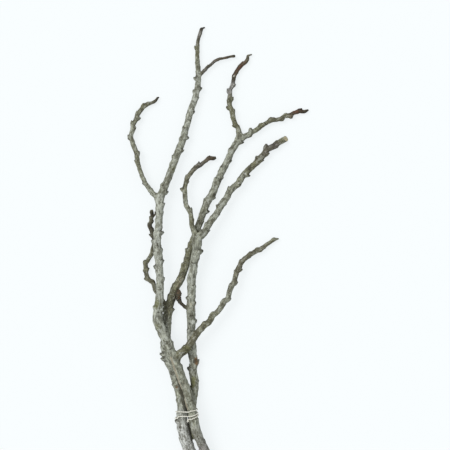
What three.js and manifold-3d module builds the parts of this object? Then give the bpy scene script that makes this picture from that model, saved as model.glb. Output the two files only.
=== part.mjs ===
// A bunch of three knobbly cut branches, laid down and held near their cut ends by a winding of string.
// Millimetres. +Y runs from the cut ends to the tips, +Z is up from the table that the bunch lies on.
import * as THREE from "three";
import { mergeVertices } from "three/addons/utils/BufferGeometryUtils.js";
import Module from "manifold-3d";

const wasm = await Module();
wasm.setup();

// Driving dimensions of the bark solids
const GAP = 0.3; // clear space where one limb meets another
const RING_STEP = 8.5; // spacing of the rings along a limb
const STEM_SIDES = 8;
const TWIG_SIDES = 7;
const LEDGE_RAMP = 9; // length over which a bud ledge swells out of the limb
const LEDGE_DROP = 1.8; // length over which it falls back on the side of the tip
const LEDGE_LEAST = 0.7; // least height of a ledge
const ROOT_GAP_SIDES = 12;

// Driving dimensions of the string
const STRING_DIAMETER = 2;
const STRING_CLEAR = 1.4; // from the bark to the middle of the strand
const STRING_SIDES = 6;
const STRING_STEP = 16; // degrees between the places of the winding
// The winding as [degrees, y]: 90 is on top of the stems and 0 at their right
const STRING_PASSES = [
  [104, -254.9], [0, -251.4], [-90, -253.2], [-180, -255.9], [-270, -252.2], [-360, -248.7],
  [-450, -247.9], [-540, -247.2], [-630, -245.3], [-720, -244.2], [-800, -245],
];

// Each limb is a list of [x, y, z, diameter] along its middle, from the base to the tip.
const UPPER_STEM = [
  [-10, -330, 14, 13.8], [-15.5, -314.5, 16, 13.6], [-21, -302.5, 17.5, 13.4], [-27, -289, 19, 13.4],
  [-33, -274, 20.6, 13.6], [-36.5, -259, 21.3, 13.2], [-39.5, -244, 21.5, 13.2], [-43.5, -229, 21.6, 13.2],
  [-47, -214, 21.7, 13.2], [-53, -199, 21.8, 13], [-59.5, -182.5, 22.2, 13.4], [-65, -169, 22.6, 14.8],
];
const UPPER_LIMB = [
  [-65.3, -168.4, 22.6, 14.8], [-70.5, -157, 23, 15.6], [-75.5, -143.5, 23.4, 14.8], [-80, -134.5, 23.4, 14.2],
  [-86, -121, 23, 14], [-91, -107.5, 22.2, 15], [-90.5, -95.5, 21.4, 14], [-88.5, -79, 20.5, 12.6],
  [-87.5, -61, 19.6, 12], [-87.5, -46, 18.8, 11.8], [-89, -28, 18, 11.8], [-90, -13, 17.3, 12.2],
  [-92, 3.5, 16.6, 12.8], [-92, 15.5, 16, 12.4], [-90, 29, 15.4, 11.2], [-89, 44, 14.8, 11],
  [-88.3, 59, 14, 11.8], [-88, 71, 13.5, 13.2],
];
const UPPER_LEADER = [
  [-87.6, 72, 13.4, 13], [-83.5, 84.5, 12.7, 11.8], [-80, 93, 12.2, 11.4], [-75.7, 103, 11.6, 10.8],
  [-70.7, 116, 11, 10.8], [-66.5, 128, 10.4, 10.8], [-62.5, 138.5, 9.9, 10.8], [-58.3, 149, 9.4, 10.5],
  [-54, 160, 8.9, 10.4], [-50.2, 174.5, 8.3, 10], [-46, 189.5, 7.7, 9.7], [-42.5, 203, 7.2, 9.6],
  [-39, 213.5, 6.8, 9.6], [-35.2, 224, 6.4, 9.6], [-32.8, 234.5, 6, 9.4], [-31, 246.5, 5.6, 8.4],
  [-30.5, 258.5, 5.2, 7.9], [-31.3, 272, 4.7, 7.2], [-32.2, 284, 4.3, 6.6], [-32, 296, 3.9, 6.2],
  [-31.5, 308, 3.4, 5.4], [-29.2, 317.7, 3.1, 5.2], [-26.5, 326, 2.8, 4.6], [-25.2, 329.3, 2.8, 3.6],
  [-21, 330.6, 3.2, 1.6],
];
const UPPER_LEFT_SHOOT = [
  [-88, 69, 13.6, 9], [-93.2, 76.2, 13.2, 8.4], [-98.5, 81, 12.8, 7.6], [-105.8, 90.5, 12.2, 7],
  [-111.2, 99, 11.6, 6.8], [-115.6, 109.4, 11, 6.6], [-119, 118.7, 10.4, 6.5], [-121.6, 129.5, 9.8, 7],
  [-123, 140, 9.2, 7.4], [-125.6, 147.5, 8.8, 7.2], [-130.5, 161, 8, 6.6], [-131.8, 167, 7.7, 7.2],
  [-129.5, 176, 7.2, 6.8], [-128.2, 183.5, 6.8, 6.9], [-124, 192.5, 6.3, 7.2], [-121.5, 199.2, 5.9, 6.9],
  [-116.5, 206.3, 5.4, 6.6], [-111.7, 212, 5, 6.8], [-106, 215, 4.6, 5.6], [-100, 217.4, 4.2, 4.8],
  [-94.7, 220.5, 3.7, 4.6], [-91.6, 224.7, 3.2, 3.2], [-89.5, 225.5, 3, 1.4],
];
const UPPER_SIDE_TWIG = [
  [-31, 257, 5.3, 5.4], [-25.7, 261, 5.4, 5.2], [-19, 268.2, 5.6, 4.5], [-12.2, 274, 5.8, 4.3],
  [-6.2, 279.2, 5.8, 4.2], [-0.2, 282.6, 5.6, 4.3], [6.5, 283.8, 5.2, 3.9], [13.2, 285.5, 4.8, 3.7],
  [19.2, 286.8, 4.4, 3.6], [23.5, 287.3, 4.2, 4.4], [25, 287.4, 4.2, 2.4],
];
const UPPER_RIGHT_SHOOT = [
  [-64, -165, 22.6, 12.6], [-56.5, -157.5, 22.4, 12.4], [-51.2, -153.7, 22, 11.6], [-43, -144.2, 21.4, 11.2],
  [-36.5, -134.5, 20.8, 10.4], [-30.2, -125.5, 20, 9.6], [-22, -117.2, 19.2, 9.2], [-12.2, -108.2, 18.3, 8.4],
  [-8.5, -101.5, 17.8, 8], [-2.5, -96.7, 17.2, 7.7], [3.8, -89, 16.5, 7.8], [7.2, -82.7, 16, 7.5],
  [13.7, -76, 15.3, 7.4], [15.8, -67, 14.5, 7.2], [18.8, -59.5, 13.8, 7.4], [23.5, -50.5, 13, 7.1],
  [25.7, -40.7, 12.2, 7.2], [29, -32.5, 11.4, 7.2], [32.5, -25.7, 10.7, 6.8], [36, -20.5, 10.1, 6.8],
  [41.8, -15, 9.3, 6.8], [47.5, -11, 8.5, 6.5], [55, -6.2, 7.6, 6.4], [62.8, -2.5, 6.7, 6],
  [70, 2.3, 5.8, 5.4], [77, 7.4, 4.8, 5.2], [83.8, 11.5, 3.8, 4.6], [87.5, 12.5, 3.2, 3],
  [90.3, 12.8, 2.9, 1.5],
];
const MIDDLE_STEM = [
  [-34.6, -287, 5.9, 11.2], [-37.4, -274.5, 6.2, 11.3], [-39.4, -263.5, 7.4, 11.5],
  [-40.6, -253.5, 8.3, 11.6], [-40.2, -243, 8.6, 11.6], [-38.8, -231, 8.6, 11.6],
  [-37, -217, 8.2, 11.7], [-36.2, -202, 7.8, 12], [-38.6, -187, 7.4, 12.8], [-37.8, -173.5, 7.2, 12.4],
  [-39.5, -160, 7.2, 13.4], [-40.3, -148, 7.2, 13.2], [-41.2, -136, 7.4, 12.6], [-41.2, -121, 8, 12],
  [-41, -107.5, 8.8, 13], [-41.5, -92.5, 10, 12.8], [-40.8, -77.5, 11.4, 12.8], [-40.8, -62.5, 13, 12.6],
  [-40.8, -49, 14.4, 12.6], [-38.5, -34, 16, 12.8], [-36.3, -20.5, 17.2, 12.6], [-33, -7, 18.2, 12.9],
  [-32.2, 5, 18.6, 13.4], [-31, 13, 18.6, 13.8],
];
const MIDDLE_CUT_SHOOT = [
  [-30.6, 13.8, 18.6, 13.6], [-23.2, 20.5, 17.9, 11.2], [-18.6, 27.5, 17.3, 10.8], [-13.8, 35.8, 16.6, 10.4],
  [-7, 44.8, 15.8, 9.8], [0, 55.3, 14.9, 9.7], [5, 65, 14.1, 10.4], [11, 72.8, 13.4, 9.6],
  [16, 82.3, 12.6, 9.6], [22, 89.8, 11.9, 9.9], [29.6, 96.5, 11.1, 9.6], [35.5, 105.8, 10.2, 9.8],
  [43.4, 114.5, 9.3, 9.2], [52.3, 122.8, 8.5, 9.4], [60, 131, 7.8, 10], [67.3, 138.5, 7.1, 9.3],
  [72.5, 146.7, 6.5, 9], [81.5, 151.3, 5.9, 8.2], [89.8, 156.8, 5.3, 7.6], [97, 161, 4.8, 7.8],
  [102.5, 164, 4.5, 8.2],
];
const MIDDLE_CURLED_SHOOT = [
  [-33, 9, 18.6, 9.6], [-36, 20.5, 18.2, 8.6], [-39.5, 32, 17.2, 7.2], [-40.6, 41.7, 16.4, 7],
  [-42, 50.8, 15.6, 7], [-46.3, 59, 14.8, 6.6], [-49.5, 66.5, 14.1, 6.9], [-50.2, 77, 13.2, 7.2],
  [-50.8, 86.8, 12.3, 6.8], [-49.6, 95.8, 11.5, 6.7], [-47.2, 103.3, 10.8, 7.2], [-41.8, 111.5, 9.9, 7],
  [-34, 119.8, 8.8, 7], [-27.3, 123.2, 7.8, 5.8], [-20, 129.5, 6.8, 5.7], [-13.3, 133.7, 5.7, 6.4],
  [-7.8, 133.7, 4.8, 6], [-4.2, 134.9, 4.2, 3.8],
];
const MIDDLE_SPUR_TWIG = [
  [-43.5, -91, 10.4, 6], [-49, -89.8, 11, 5.2], [-53.3, -86.3, 11.8, 4.2], [-57.3, -81.5, 12.6, 4.2],
  [-59.8, -76.4, 13.4, 4.8], [-60.2, -71.2, 14, 5.8], [-59.8, -66.2, 14.2, 5.2], [-59.2, -62.8, 14.2, 2.4],
];
const LOWER_STEM = [
  [-37.8, -330, 9.4, 18.6], [-43.3, -305.5, 9.4, 18.4], [-49.3, -287.5, 9.5, 18.8], [-53, -271, 10, 18.2],
  [-55.2, -257.5, 10.8, 16.8], [-54.5, -244, 10.9, 15.6], [-55.3, -229, 10.6, 15.8], [-58.3, -214, 9.9, 16.4],
  [-62.5, -197.5, 9.4, 16.8], [-67.8, -181, 9, 16.4], [-73.5, -169, 8.7, 16.6], [-77, -157, 8.4, 16.4],
  [-79.3, -143.5, 8, 15.8], [-78.7, -130, 7.7, 14.4], [-77.2, -115, 7.2, 12.8], [-76, -100, 6.9, 12.6],
  [-73.5, -85, 7, 13.4], [-68.8, -71.5, 6.8, 12.6], [-63.3, -58, 6.3, 11.8], [-56.8, -47.5, 6.1, 11.8],
  [-52, -34, 6, 11.6], [-47.5, -20.5, 5.9, 11.4], [-43, -4, 5.8, 11.2], [-38.5, 9.5, 5.7, 10.8],
  [-33.5, 23, 5.6, 10.4], [-29.2, 35, 5.6, 10.2], [-24.5, 48.5, 5.6, 10.4], [-20.2, 60.5, 5.8, 10.6],
  [-15.2, 71.8, 6, 11.2], [-9, 81.5, 6, 11], [-3, 96.5, 6, 11.2], [3, 110, 5.8, 10.6],
  [9.2, 122, 5.6, 10.2], [15, 134, 5.6, 9.8], [20.3, 146, 5.6, 9.6], [26.5, 155.7, 5.7, 10.2],
  [31, 164, 5.8, 11.4],
];
const LOWER_LEFT_SHOOT = [
  [31.2, 165, 5.8, 10.8], [30.6, 173, 5.8, 8], [28.4, 179.5, 5.9, 7], [24.8, 185.5, 6, 7.2],
  [22.4, 192.5, 6.2, 7.1], [20.9, 199.3, 6.4, 7.6], [19.4, 206, 6.4, 7.5], [16.4, 213.5, 6.4, 6.8],
  [16.7, 221.7, 6.2, 7.4], [17, 229.2, 6, 6.8], [17.4, 236.7, 5.6, 6.4], [20.9, 244.2, 5.2, 6],
  [22.4, 251.8, 4.8, 6.2], [24, 258.8, 4.4, 6.4], [28.1, 266, 4, 6.2], [33.5, 273, 3.8, 6.6],
  [40, 278, 3.6, 6], [43.4, 283.3, 3.4, 5], [44, 287.8, 3.2, 3.8], [46.4, 288.8, 3.2, 2.8],
  [50, 290, 3.4, 1.4],
];
const LOWER_RIGHT_SHOOT = [
  [29, 160, 5.8, 9], [36.5, 165, 6, 8.8], [44, 168.8, 6.2, 8.4], [51.5, 173.6, 6.4, 6.8],
  [58.7, 177.5, 6.4, 6.3], [65, 182.6, 6.3, 6.7], [73.2, 187.5, 6.1, 6.1], [80.5, 191, 5.8, 6.5],
  [86.8, 191.6, 5.4, 5.1], [94, 193.7, 5, 5.5], [101, 197.6, 4.6, 6.3], [107.5, 198.8, 4.2, 5.2],
  [114.5, 202.5, 3.8, 5.5], [122, 204.7, 3.4, 5.8], [128.8, 204, 3, 4.8], [132.2, 205, 2.8, 3],
  [135.5, 206, 2.8, 1.5],
];
const LOWER_WAVY_SHOOT = [
  [-76, -92, 6.8, 6.6], [-82.5, -83, 6, 6.4], [-89.5, -73, 5.4, 6.4], [-95.5, -63.2, 4.9, 6.4],
  [-98.8, -53.5, 4.6, 6.6], [-106.3, -46.5, 4.4, 6.4], [-109.2, -36.2, 4.3, 6.8], [-109.3, -24.2, 4.3, 6.6],
  [-104.8, -17, 4.4, 6.3], [-100.3, -9.2, 4.5, 6.4], [-99, -0.2, 4.8, 5], [-97.6, 7.3, 5, 4.8],
  [-98.2, 14.8, 5.2, 5.2], [-100.3, 23.8, 5.2, 6.2], [-103.2, 32, 5, 6.4], [-102, 39.5, 4.8, 4.8],
  [-99.8, 47, 4.6, 5.8], [-100.2, 53.3, 4.4, 5], [-100, 56.6, 4.4, 2.6],
];
const LOWER_WAVY_SPUR = [
  [-99.6, 46.5, 4.7, 3.4], [-96.6, 48, 5.1, 2.8], [-94.9, 51.5, 5.5, 2.6], [-95.4, 54, 5.7, 1.6],
];

// Bud ledges: [x, y] of the point of each, as it stands out of the side of its limb
const UPPER_LIMB_LEDGES = [
  [-67.6, -141.5], [-97.6, -88], [-80.5, -46], [-97.5, -28], [-81.5, -19], [-83.8, -2.5], [-100.3, 10.3],
  [-82, 22.3], [-80.7, 65],
];
const UPPER_LEADER_LEDGES = [
  [-75.5, 83], [-86, 94.3], [-69.5, 137.8], [-52.5, 144.5], [-59, 164.3], [-44.6, 165.8], [-54, 181.3],
  [-35.8, 204], [-29.5, 225.5], [-38.8, 236], [-25.3, 239], [-37.6, 254.8], [-36.4, 301.3],
];
const UPPER_LEFT_LEDGES = [
  [-114.7, 96.2], [-126.5, 130.3], [-118.3, 143], [-137.5, 167.3], [-124, 179.5], [-131.5, 189],
  [-117, 194.5], [-123.7, 203.8], [-113.8, 216], [-106, 218.8],
];
const UPPER_RIGHT_LEDGES = [
  [-23, -110.5], [-10, -96], [6.2, -77.2], [17.6, -78.6], [17, -55.6], [28.7, -52], [23.9, -34],
  [35.8, -33], [31.7, -19], [46.3, -7], [58, 0.2], [65, -4.8], [83, 13.4],
];
const MIDDLE_STEM_LEDGES = [
  [-29.5, -199.8], [-47.2, -180.7], [-29.8, -169.5], [-33, -109], [-33.3, -82], [-49, -73.8], [-23, -4],
];
const MIDDLE_CUT_LEDGES = [
  [-20, 36], [-3.3, 63.5], [11.5, 64], [14.5, 91], [33.2, 92.3], [46.4, 107], [56.6, 137], [67.6, 130],
  [76.4, 140.5], [71.5, 155.3], [88.5, 150],
];
const MIDDLE_CURLED_LEDGES = [
  [-40.3, 59], [-57.1, 89.3], [-44, 98.8], [-49.5, 107.8], [-30, 128], [-14.8, 136.7],
];
const LOWER_STEM_LEDGES = [
  [-70.3, -205.8], [-86.5, -169.8], [-88, -145], [-66.4, -93.3], [-76, -71], [-68.5, -53.5], [-54.6, -25],
  [-48.5, -1.8], [-22, 72], [-13.6, 54.5], [-6.5, 103.5], [-4.8, 74.8], [6.2, 104], [3.5, 122],
  [19.4, 130.3], [17, 148.3], [37, 156.8],
];
const LOWER_LEFT_LEDGES = [
  [20.3, 182.8], [24.2, 206], [11.3, 210], [12.8, 221], [22, 224], [12.5, 236], [25.7, 245], [35.8, 278.3],
];
const LOWER_RIGHT_LEDGES = [
  [47.8, 179], [49.3, 166.3], [62, 186.5], [78.5, 195.5], [98, 190.5], [100.3, 201.5], [111.5, 194.8],
  [123.5, 207.8],
];
const LOWER_WAVY_LEDGES = [
  [-97.8, -49.5], [-112, -46.8], [-104.5, -31.8], [-113.8, -34.3], [-112.8, -19.8], [-106, 36],
];

const bark = (color) => new THREE.MeshStandardMaterial({ color, roughness: 0.88, metalness: 0 });
const STEM_BARK = bark(0x9a9b8c);
const SHOOT_BARK = bark(0x7f7d69);
const TWIG_BARK = bark(0x5f5648);
const STRING_FIBRE = new THREE.MeshStandardMaterial({ color: 0xdcd8c6, roughness: 0.9, metalness: 0 });

// The middle line of a limb, with its radius and its sideways and upward directions at each place along it
class Axis {
  constructor(rows) {
    this.radii = rows.map((row) => row[3] / 2);
    this.curve = new THREE.CatmullRomCurve3(
      rows.map(([x, y, z]) => new THREE.Vector3(x, y, z)), false, "centripetal",
    );
    this.length = this.curve.getLength();
  }

  at(distance) {
    const u = THREE.MathUtils.clamp(distance / this.length, 0, 1);
    const place = this.curve.getUtoTmapping(u) * (this.radii.length - 1);
    const row = Math.min(Math.floor(place), this.radii.length - 2);
    const along = this.curve.getTangentAt(u);
    const side = new THREE.Vector3(along.y, -along.x, 0).normalize();
    return {
      middle: this.curve.getPointAt(u),
      radius: THREE.MathUtils.lerp(this.radii[row], this.radii[row + 1], place - row),
      along,
      side,
      up: new THREE.Vector3().crossVectors(side, along),
    };
  }

  // The place along the line that is nearest to a point seen from above
  nearest(x, y) {
    const seen = (distance) => {
      const { middle } = this.at(distance);
      return Math.hypot(middle.x - x, middle.y - y);
    };
    let best = 0;
    for (let distance = 0; distance <= this.length; distance += 1) {
      if (seen(distance) < seen(best)) best = distance;
    }
    return best;
  }
}

// A ledge on an axis: how far along it is, how high, and on which side
function ledgeOn(axis, [x, y]) {
  const distance = axis.nearest(x, y);
  const { middle, radius, side } = axis.at(distance);
  const offset = (x - middle.x) * side.x + (y - middle.y) * side.y;
  return {
    distance,
    height: Math.max(Math.abs(offset) - radius, LEDGE_LEAST),
    sign: Math.sign(offset),
  };
}

// How much of a ledge's height stands at a distance along the limb
function ledgeShare(ledge, distance) {
  const ahead = distance - ledge.distance;
  if (ahead > 0) return Math.max(0, 1 - ahead / LEDGE_DROP);
  return THREE.MathUtils.smoothstep(ahead, -LEDGE_RAMP, 0);
}

// Ring places: even steps, and the crest and foot of each ledge
function ringPlaces(axis, ledges) {
  const crests = ledges.flatMap(({ distance }) => [distance, distance + LEDGE_DROP]);
  const places = [0, axis.length];
  const free = (place) => places.every((other) => Math.abs(other - place) > LEDGE_DROP * 0.9);
  crests.filter((place) => place > 0 && place < axis.length).forEach((place) => {
    if (free(place)) places.push(place);
  });
  const steps = Math.round(axis.length / RING_STEP);
  for (let i = 1; i < steps; i += 1) {
    const place = (axis.length * i) / steps;
    if (free(place)) places.push(place);
  }
  return places.sort((a, b) => a - b);
}

// A closed skin over rings of points, with a flat face on each end
function skinOver(rings) {
  const sides = rings[0].length;
  const positions = rings.flat().flatMap((point) => [point.x, point.y, point.z]);
  const index = [];
  for (let ring = 0; ring < rings.length - 1; ring += 1) {
    for (let i = 0; i < sides; i += 1) {
      const a = ring * sides + i;
      const b = ring * sides + ((i + 1) % sides);
      index.push(a, b, b + sides, a, b + sides, a + sides);
    }
  }
  const last = (rings.length - 1) * sides;
  for (let i = 1; i < sides - 1; i += 1) {
    index.push(0, i + 1, i, last, last + i, last + i + 1);
  }
  const geometry = new THREE.BufferGeometry();
  geometry.setAttribute("position", new THREE.Float32BufferAttribute(positions, 3));
  geometry.setIndex(index);
  return geometry;
}

// A limb's solid: a tube along its axis that swells at its ledges, grown on every side to clear its neighbours
function limbGeometry(rows, ledgePoints, sides, grow = 0) {
  const axis = new Axis(rows);
  const ledges = ledgePoints.map((point) => ledgeOn(axis, point));
  const rings = ringPlaces(axis, ledges).map((distance) => {
    const { middle, radius, along, side, up } = axis.at(distance);
    if (distance === 0) middle.addScaledVector(along, -grow);
    if (distance === axis.length) middle.addScaledVector(along, grow);
    return Array.from({ length: sides }, (_, i) => {
      const angle = (2 * Math.PI * i) / sides;
      const swell = ledges.reduce((sum, ledge) => {
        const facing = Math.max(0, Math.cos(angle) * ledge.sign) ** 2;
        return Math.max(sum, ledge.height * facing * ledgeShare(ledge, distance));
      }, 0);
      const reach = radius + swell + grow;
      return middle.clone()
        .addScaledVector(side, Math.cos(angle) * reach)
        .addScaledVector(up, -Math.sin(angle) * reach);
    });
  });
  return skinOver(rings);
}

// A closed geometry as a solid for cutting and joining
function solidOf(geometry) {
  const merged = mergeVertices(geometry);
  return new wasm.Manifold(new wasm.Mesh({
    numProp: 3,
    vertProperties: merged.attributes.position.array,
    triVerts: new Uint32Array(merged.index.array),
  }));
}

// The biggest piece of a solid, as a geometry
function geometryOf(solid) {
  const pieces = solid.decompose().sort((a, b) => b.volume() - a.volume());
  const mesh = pieces[0].getMesh();
  const geometry = new THREE.BufferGeometry();
  geometry.setAttribute("position", new THREE.Float32BufferAttribute(mesh.vertProperties, 3));
  geometry.setIndex(Array.from(mesh.triVerts));
  return geometry;
}

const bunch = new THREE.Group();
bunch.name = "tied_branches";

function addMesh(parent, name, geometry, material) {
  geometry.computeVertexNormals();
  const mesh = new THREE.Mesh(geometry, material);
  mesh.name = name;
  parent.add(mesh);
}

// A limb whose base stands clear of the limbs that it grows from
function trimmedLimb(rows, ledges, sides, parents, extra = []) {
  let solid = solidOf(limbGeometry(rows, ledges, sides));
  extra.forEach((spur) => {
    solid = solid.add(solidOf(limbGeometry(spur, [], TWIG_SIDES - 2)));
  });
  parents.forEach(([parentRows, parentLedges]) => {
    solid = solid.subtract(solidOf(limbGeometry(parentRows, parentLedges, ROOT_GAP_SIDES, 2 * GAP)));
  });
  return geometryOf(solid);
}

const upperBranch = new THREE.Group();
addMesh(upperBranch, "upper_branch_stem", limbGeometry(UPPER_STEM, [], STEM_SIDES), STEM_BARK);
addMesh(upperBranch, "upper_branch_main_limb",
  trimmedLimb(UPPER_LIMB, UPPER_LIMB_LEDGES, STEM_SIDES, [[UPPER_STEM, []]]), STEM_BARK);
addMesh(upperBranch, "upper_branch_leader",
  trimmedLimb(UPPER_LEADER, UPPER_LEADER_LEDGES, STEM_SIDES, [[UPPER_LIMB, UPPER_LIMB_LEDGES]]), STEM_BARK);
addMesh(upperBranch, "upper_branch_left_shoot",
  trimmedLimb(UPPER_LEFT_SHOOT, UPPER_LEFT_LEDGES, TWIG_SIDES,
    [[UPPER_LIMB, UPPER_LIMB_LEDGES], [UPPER_LEADER, UPPER_LEADER_LEDGES]]), SHOOT_BARK);
addMesh(upperBranch, "upper_branch_side_twig",
  trimmedLimb(UPPER_SIDE_TWIG, [], TWIG_SIDES - 1, [[UPPER_LEADER, UPPER_LEADER_LEDGES]]), TWIG_BARK);
addMesh(upperBranch, "upper_branch_right_shoot",
  trimmedLimb(UPPER_RIGHT_SHOOT, UPPER_RIGHT_LEDGES, STEM_SIDES,
    [[UPPER_STEM, []], [UPPER_LIMB, UPPER_LIMB_LEDGES]]), SHOOT_BARK);
bunch.add(upperBranch);

const middleBranch = new THREE.Group();
addMesh(middleBranch, "middle_branch_stem",
  limbGeometry(MIDDLE_STEM, MIDDLE_STEM_LEDGES, STEM_SIDES), STEM_BARK);
addMesh(middleBranch, "middle_branch_cut_shoot",
  trimmedLimb(MIDDLE_CUT_SHOOT, MIDDLE_CUT_LEDGES, STEM_SIDES, [[MIDDLE_STEM, MIDDLE_STEM_LEDGES]]),
  SHOOT_BARK);
addMesh(middleBranch, "middle_branch_curled_shoot",
  trimmedLimb(MIDDLE_CURLED_SHOOT, MIDDLE_CURLED_LEDGES, TWIG_SIDES,
    [[MIDDLE_STEM, MIDDLE_STEM_LEDGES], [MIDDLE_CUT_SHOOT, MIDDLE_CUT_LEDGES]]), SHOOT_BARK);
addMesh(middleBranch, "middle_branch_spur_twig",
  trimmedLimb(MIDDLE_SPUR_TWIG, [], TWIG_SIDES - 1, [[MIDDLE_STEM, MIDDLE_STEM_LEDGES]]), TWIG_BARK);
bunch.add(middleBranch);

const lowerBranch = new THREE.Group();
addMesh(lowerBranch, "lower_branch_stem",
  limbGeometry(LOWER_STEM, LOWER_STEM_LEDGES, STEM_SIDES), STEM_BARK);
addMesh(lowerBranch, "lower_branch_left_shoot",
  trimmedLimb(LOWER_LEFT_SHOOT, LOWER_LEFT_LEDGES, TWIG_SIDES, [[LOWER_STEM, LOWER_STEM_LEDGES]]),
  SHOOT_BARK);
addMesh(lowerBranch, "lower_branch_right_shoot",
  trimmedLimb(LOWER_RIGHT_SHOOT, LOWER_RIGHT_LEDGES, TWIG_SIDES,
    [[LOWER_STEM, LOWER_STEM_LEDGES], [LOWER_LEFT_SHOOT, LOWER_LEFT_LEDGES]]), SHOOT_BARK);
addMesh(lowerBranch, "lower_branch_wavy_shoot",
  trimmedLimb(LOWER_WAVY_SHOOT, LOWER_WAVY_LEDGES, TWIG_SIDES, [[LOWER_STEM, LOWER_STEM_LEDGES]],
    [LOWER_WAVY_SPUR]), TWIG_BARK);
bunch.add(lowerBranch);

// The three stems where the string holds them: middle and reach, in a slice across Y
const TIED_STEMS = [UPPER_STEM, MIDDLE_STEM, LOWER_STEM].map((rows) => new Axis(rows));
function sliceAt(axis, y) {
  let low = 0;
  let high = axis.length;
  for (let i = 0; i < 30; i += 1) {
    const half = (low + high) / 2;
    if (axis.at(half).middle.y < y) low = half;
    else high = half;
  }
  const { middle, radius, along } = axis.at(low);
  return { x: middle.x, z: middle.z, radius: radius / along.y + STRING_CLEAR };
}

// The outermost point of the tied stems in a direction, which the taut string follows
function stringPoint(angle, y) {
  const slices = TIED_STEMS.map((axis) => sliceAt(axis, y));
  const reach = ({ x, z, radius }) => x * Math.cos(angle) + z * Math.sin(angle) + radius;
  const outer = slices.reduce((best, slice) => (reach(slice) > reach(best) ? slice : best));
  return new THREE.Vector3(
    outer.x + Math.cos(angle) * outer.radius, y, outer.z + Math.sin(angle) * outer.radius,
  );
}

// The route of the string, from its lower end on top of the stems to its upper end underneath
function stringRoute() {
  const points = [];
  for (let i = 0; i < STRING_PASSES.length - 1; i += 1) {
    const [fromDegrees, fromY] = STRING_PASSES[i];
    const [toDegrees, toY] = STRING_PASSES[i + 1];
    const steps = Math.round((fromDegrees - toDegrees) / STRING_STEP);
    for (let step = 0; step < steps; step += 1) {
      const degrees = THREE.MathUtils.lerp(fromDegrees, toDegrees, step / steps);
      const y = THREE.MathUtils.lerp(fromY, toY, step / steps);
      points.push(stringPoint(THREE.MathUtils.degToRad(degrees), y));
    }
  }
  return points;
}

// The outline of a strand cut across
function roundSection(diameter, sides) {
  const shape = new THREE.Shape();
  for (let i = 0; i < sides; i += 1) {
    const angle = (2 * Math.PI * i) / sides;
    const [x, y] = [Math.cos(angle) * diameter / 2, Math.sin(angle) * diameter / 2];
    if (i === 0) shape.moveTo(x, y);
    else shape.lineTo(x, y);
  }
  shape.closePath();
  return shape;
}

const route = stringRoute();
const stringGeometry = new THREE.ExtrudeGeometry(roundSection(STRING_DIAMETER, STRING_SIDES), {
  extrudePath: new THREE.CatmullRomCurve3(route, false, "centripetal"),
  steps: 84,
});
stringGeometry.deleteAttribute("normal");
stringGeometry.deleteAttribute("uv");
addMesh(bunch, "string_tie", stringGeometry, STRING_FIBRE);

export default bunch;
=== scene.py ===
"""Visual model of a bunch of three knobbly cut branches, tied near their cut ends with string."""

import logging
import math
from dataclasses import dataclass, field
from enum import Enum

import bpy
import numpy as np
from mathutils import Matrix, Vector


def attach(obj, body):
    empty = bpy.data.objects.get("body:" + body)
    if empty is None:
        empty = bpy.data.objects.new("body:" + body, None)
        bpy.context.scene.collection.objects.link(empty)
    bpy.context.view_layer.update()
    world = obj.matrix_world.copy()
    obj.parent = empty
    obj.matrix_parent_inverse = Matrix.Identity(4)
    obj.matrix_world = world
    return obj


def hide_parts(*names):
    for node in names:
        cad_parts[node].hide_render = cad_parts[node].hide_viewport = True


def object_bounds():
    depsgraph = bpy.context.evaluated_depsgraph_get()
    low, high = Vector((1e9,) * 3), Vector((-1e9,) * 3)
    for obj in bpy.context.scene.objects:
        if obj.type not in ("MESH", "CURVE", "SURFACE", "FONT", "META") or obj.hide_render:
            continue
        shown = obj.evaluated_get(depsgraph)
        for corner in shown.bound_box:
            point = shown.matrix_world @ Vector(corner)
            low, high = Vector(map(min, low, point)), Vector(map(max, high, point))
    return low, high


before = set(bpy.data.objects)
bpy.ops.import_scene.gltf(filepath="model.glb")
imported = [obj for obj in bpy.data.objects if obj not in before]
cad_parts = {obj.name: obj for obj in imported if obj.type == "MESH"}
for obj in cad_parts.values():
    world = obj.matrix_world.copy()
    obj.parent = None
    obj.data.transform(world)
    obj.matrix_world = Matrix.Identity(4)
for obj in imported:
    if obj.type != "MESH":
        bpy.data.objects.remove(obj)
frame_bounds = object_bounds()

logging.basicConfig(level=logging.INFO, format="%(message)s")
log = logging.getLogger("tied_branches")

MM = 0.001
BOX_LOW = np.array(frame_bounds[0]) / MM
BOX_HIGH = np.array(frame_bounds[1]) / MM

Rows = list[list[float]]
Socket = bpy.types.NodeSocket

# Each limb is a list of [x, y, z, diameter] in millimetres along its middle, from the base to the tip.
UPPER_STEM = [
  [-10, -330, 14, 13.8], [-15.5, -314.5, 16, 13.6], [-21, -302.5, 17.5, 13.4], [-27, -289, 19, 13.4],
  [-33, -274, 20.6, 13.6], [-36.5, -259, 21.3, 13.2], [-39.5, -244, 21.5, 13.2], [-43.5, -229, 21.6, 13.2],
  [-47, -214, 21.7, 13.2], [-53, -199, 21.8, 13], [-59.5, -182.5, 22.2, 13.4], [-65, -169, 22.6, 14.8],
]
UPPER_LIMB = [
  [-65.3, -168.4, 22.6, 14.8], [-70.5, -157, 23, 15.6], [-75.5, -143.5, 23.4, 14.8],
  [-80, -134.5, 23.4, 14.2], [-86, -121, 23, 14], [-91, -107.5, 22.2, 15],
  [-90.5, -95.5, 21.4, 14], [-88.5, -79, 20.5, 12.6],
  [-87.5, -61, 19.6, 12], [-87.5, -46, 18.8, 11.8], [-89, -28, 18, 11.8], [-90, -13, 17.3, 12.2],
  [-92, 3.5, 16.6, 12.8], [-92, 15.5, 16, 12.4], [-90, 29, 15.4, 11.2], [-89, 44, 14.8, 11],
  [-88.3, 59, 14, 11.8], [-88, 71, 13.5, 13.2],
]
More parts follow.
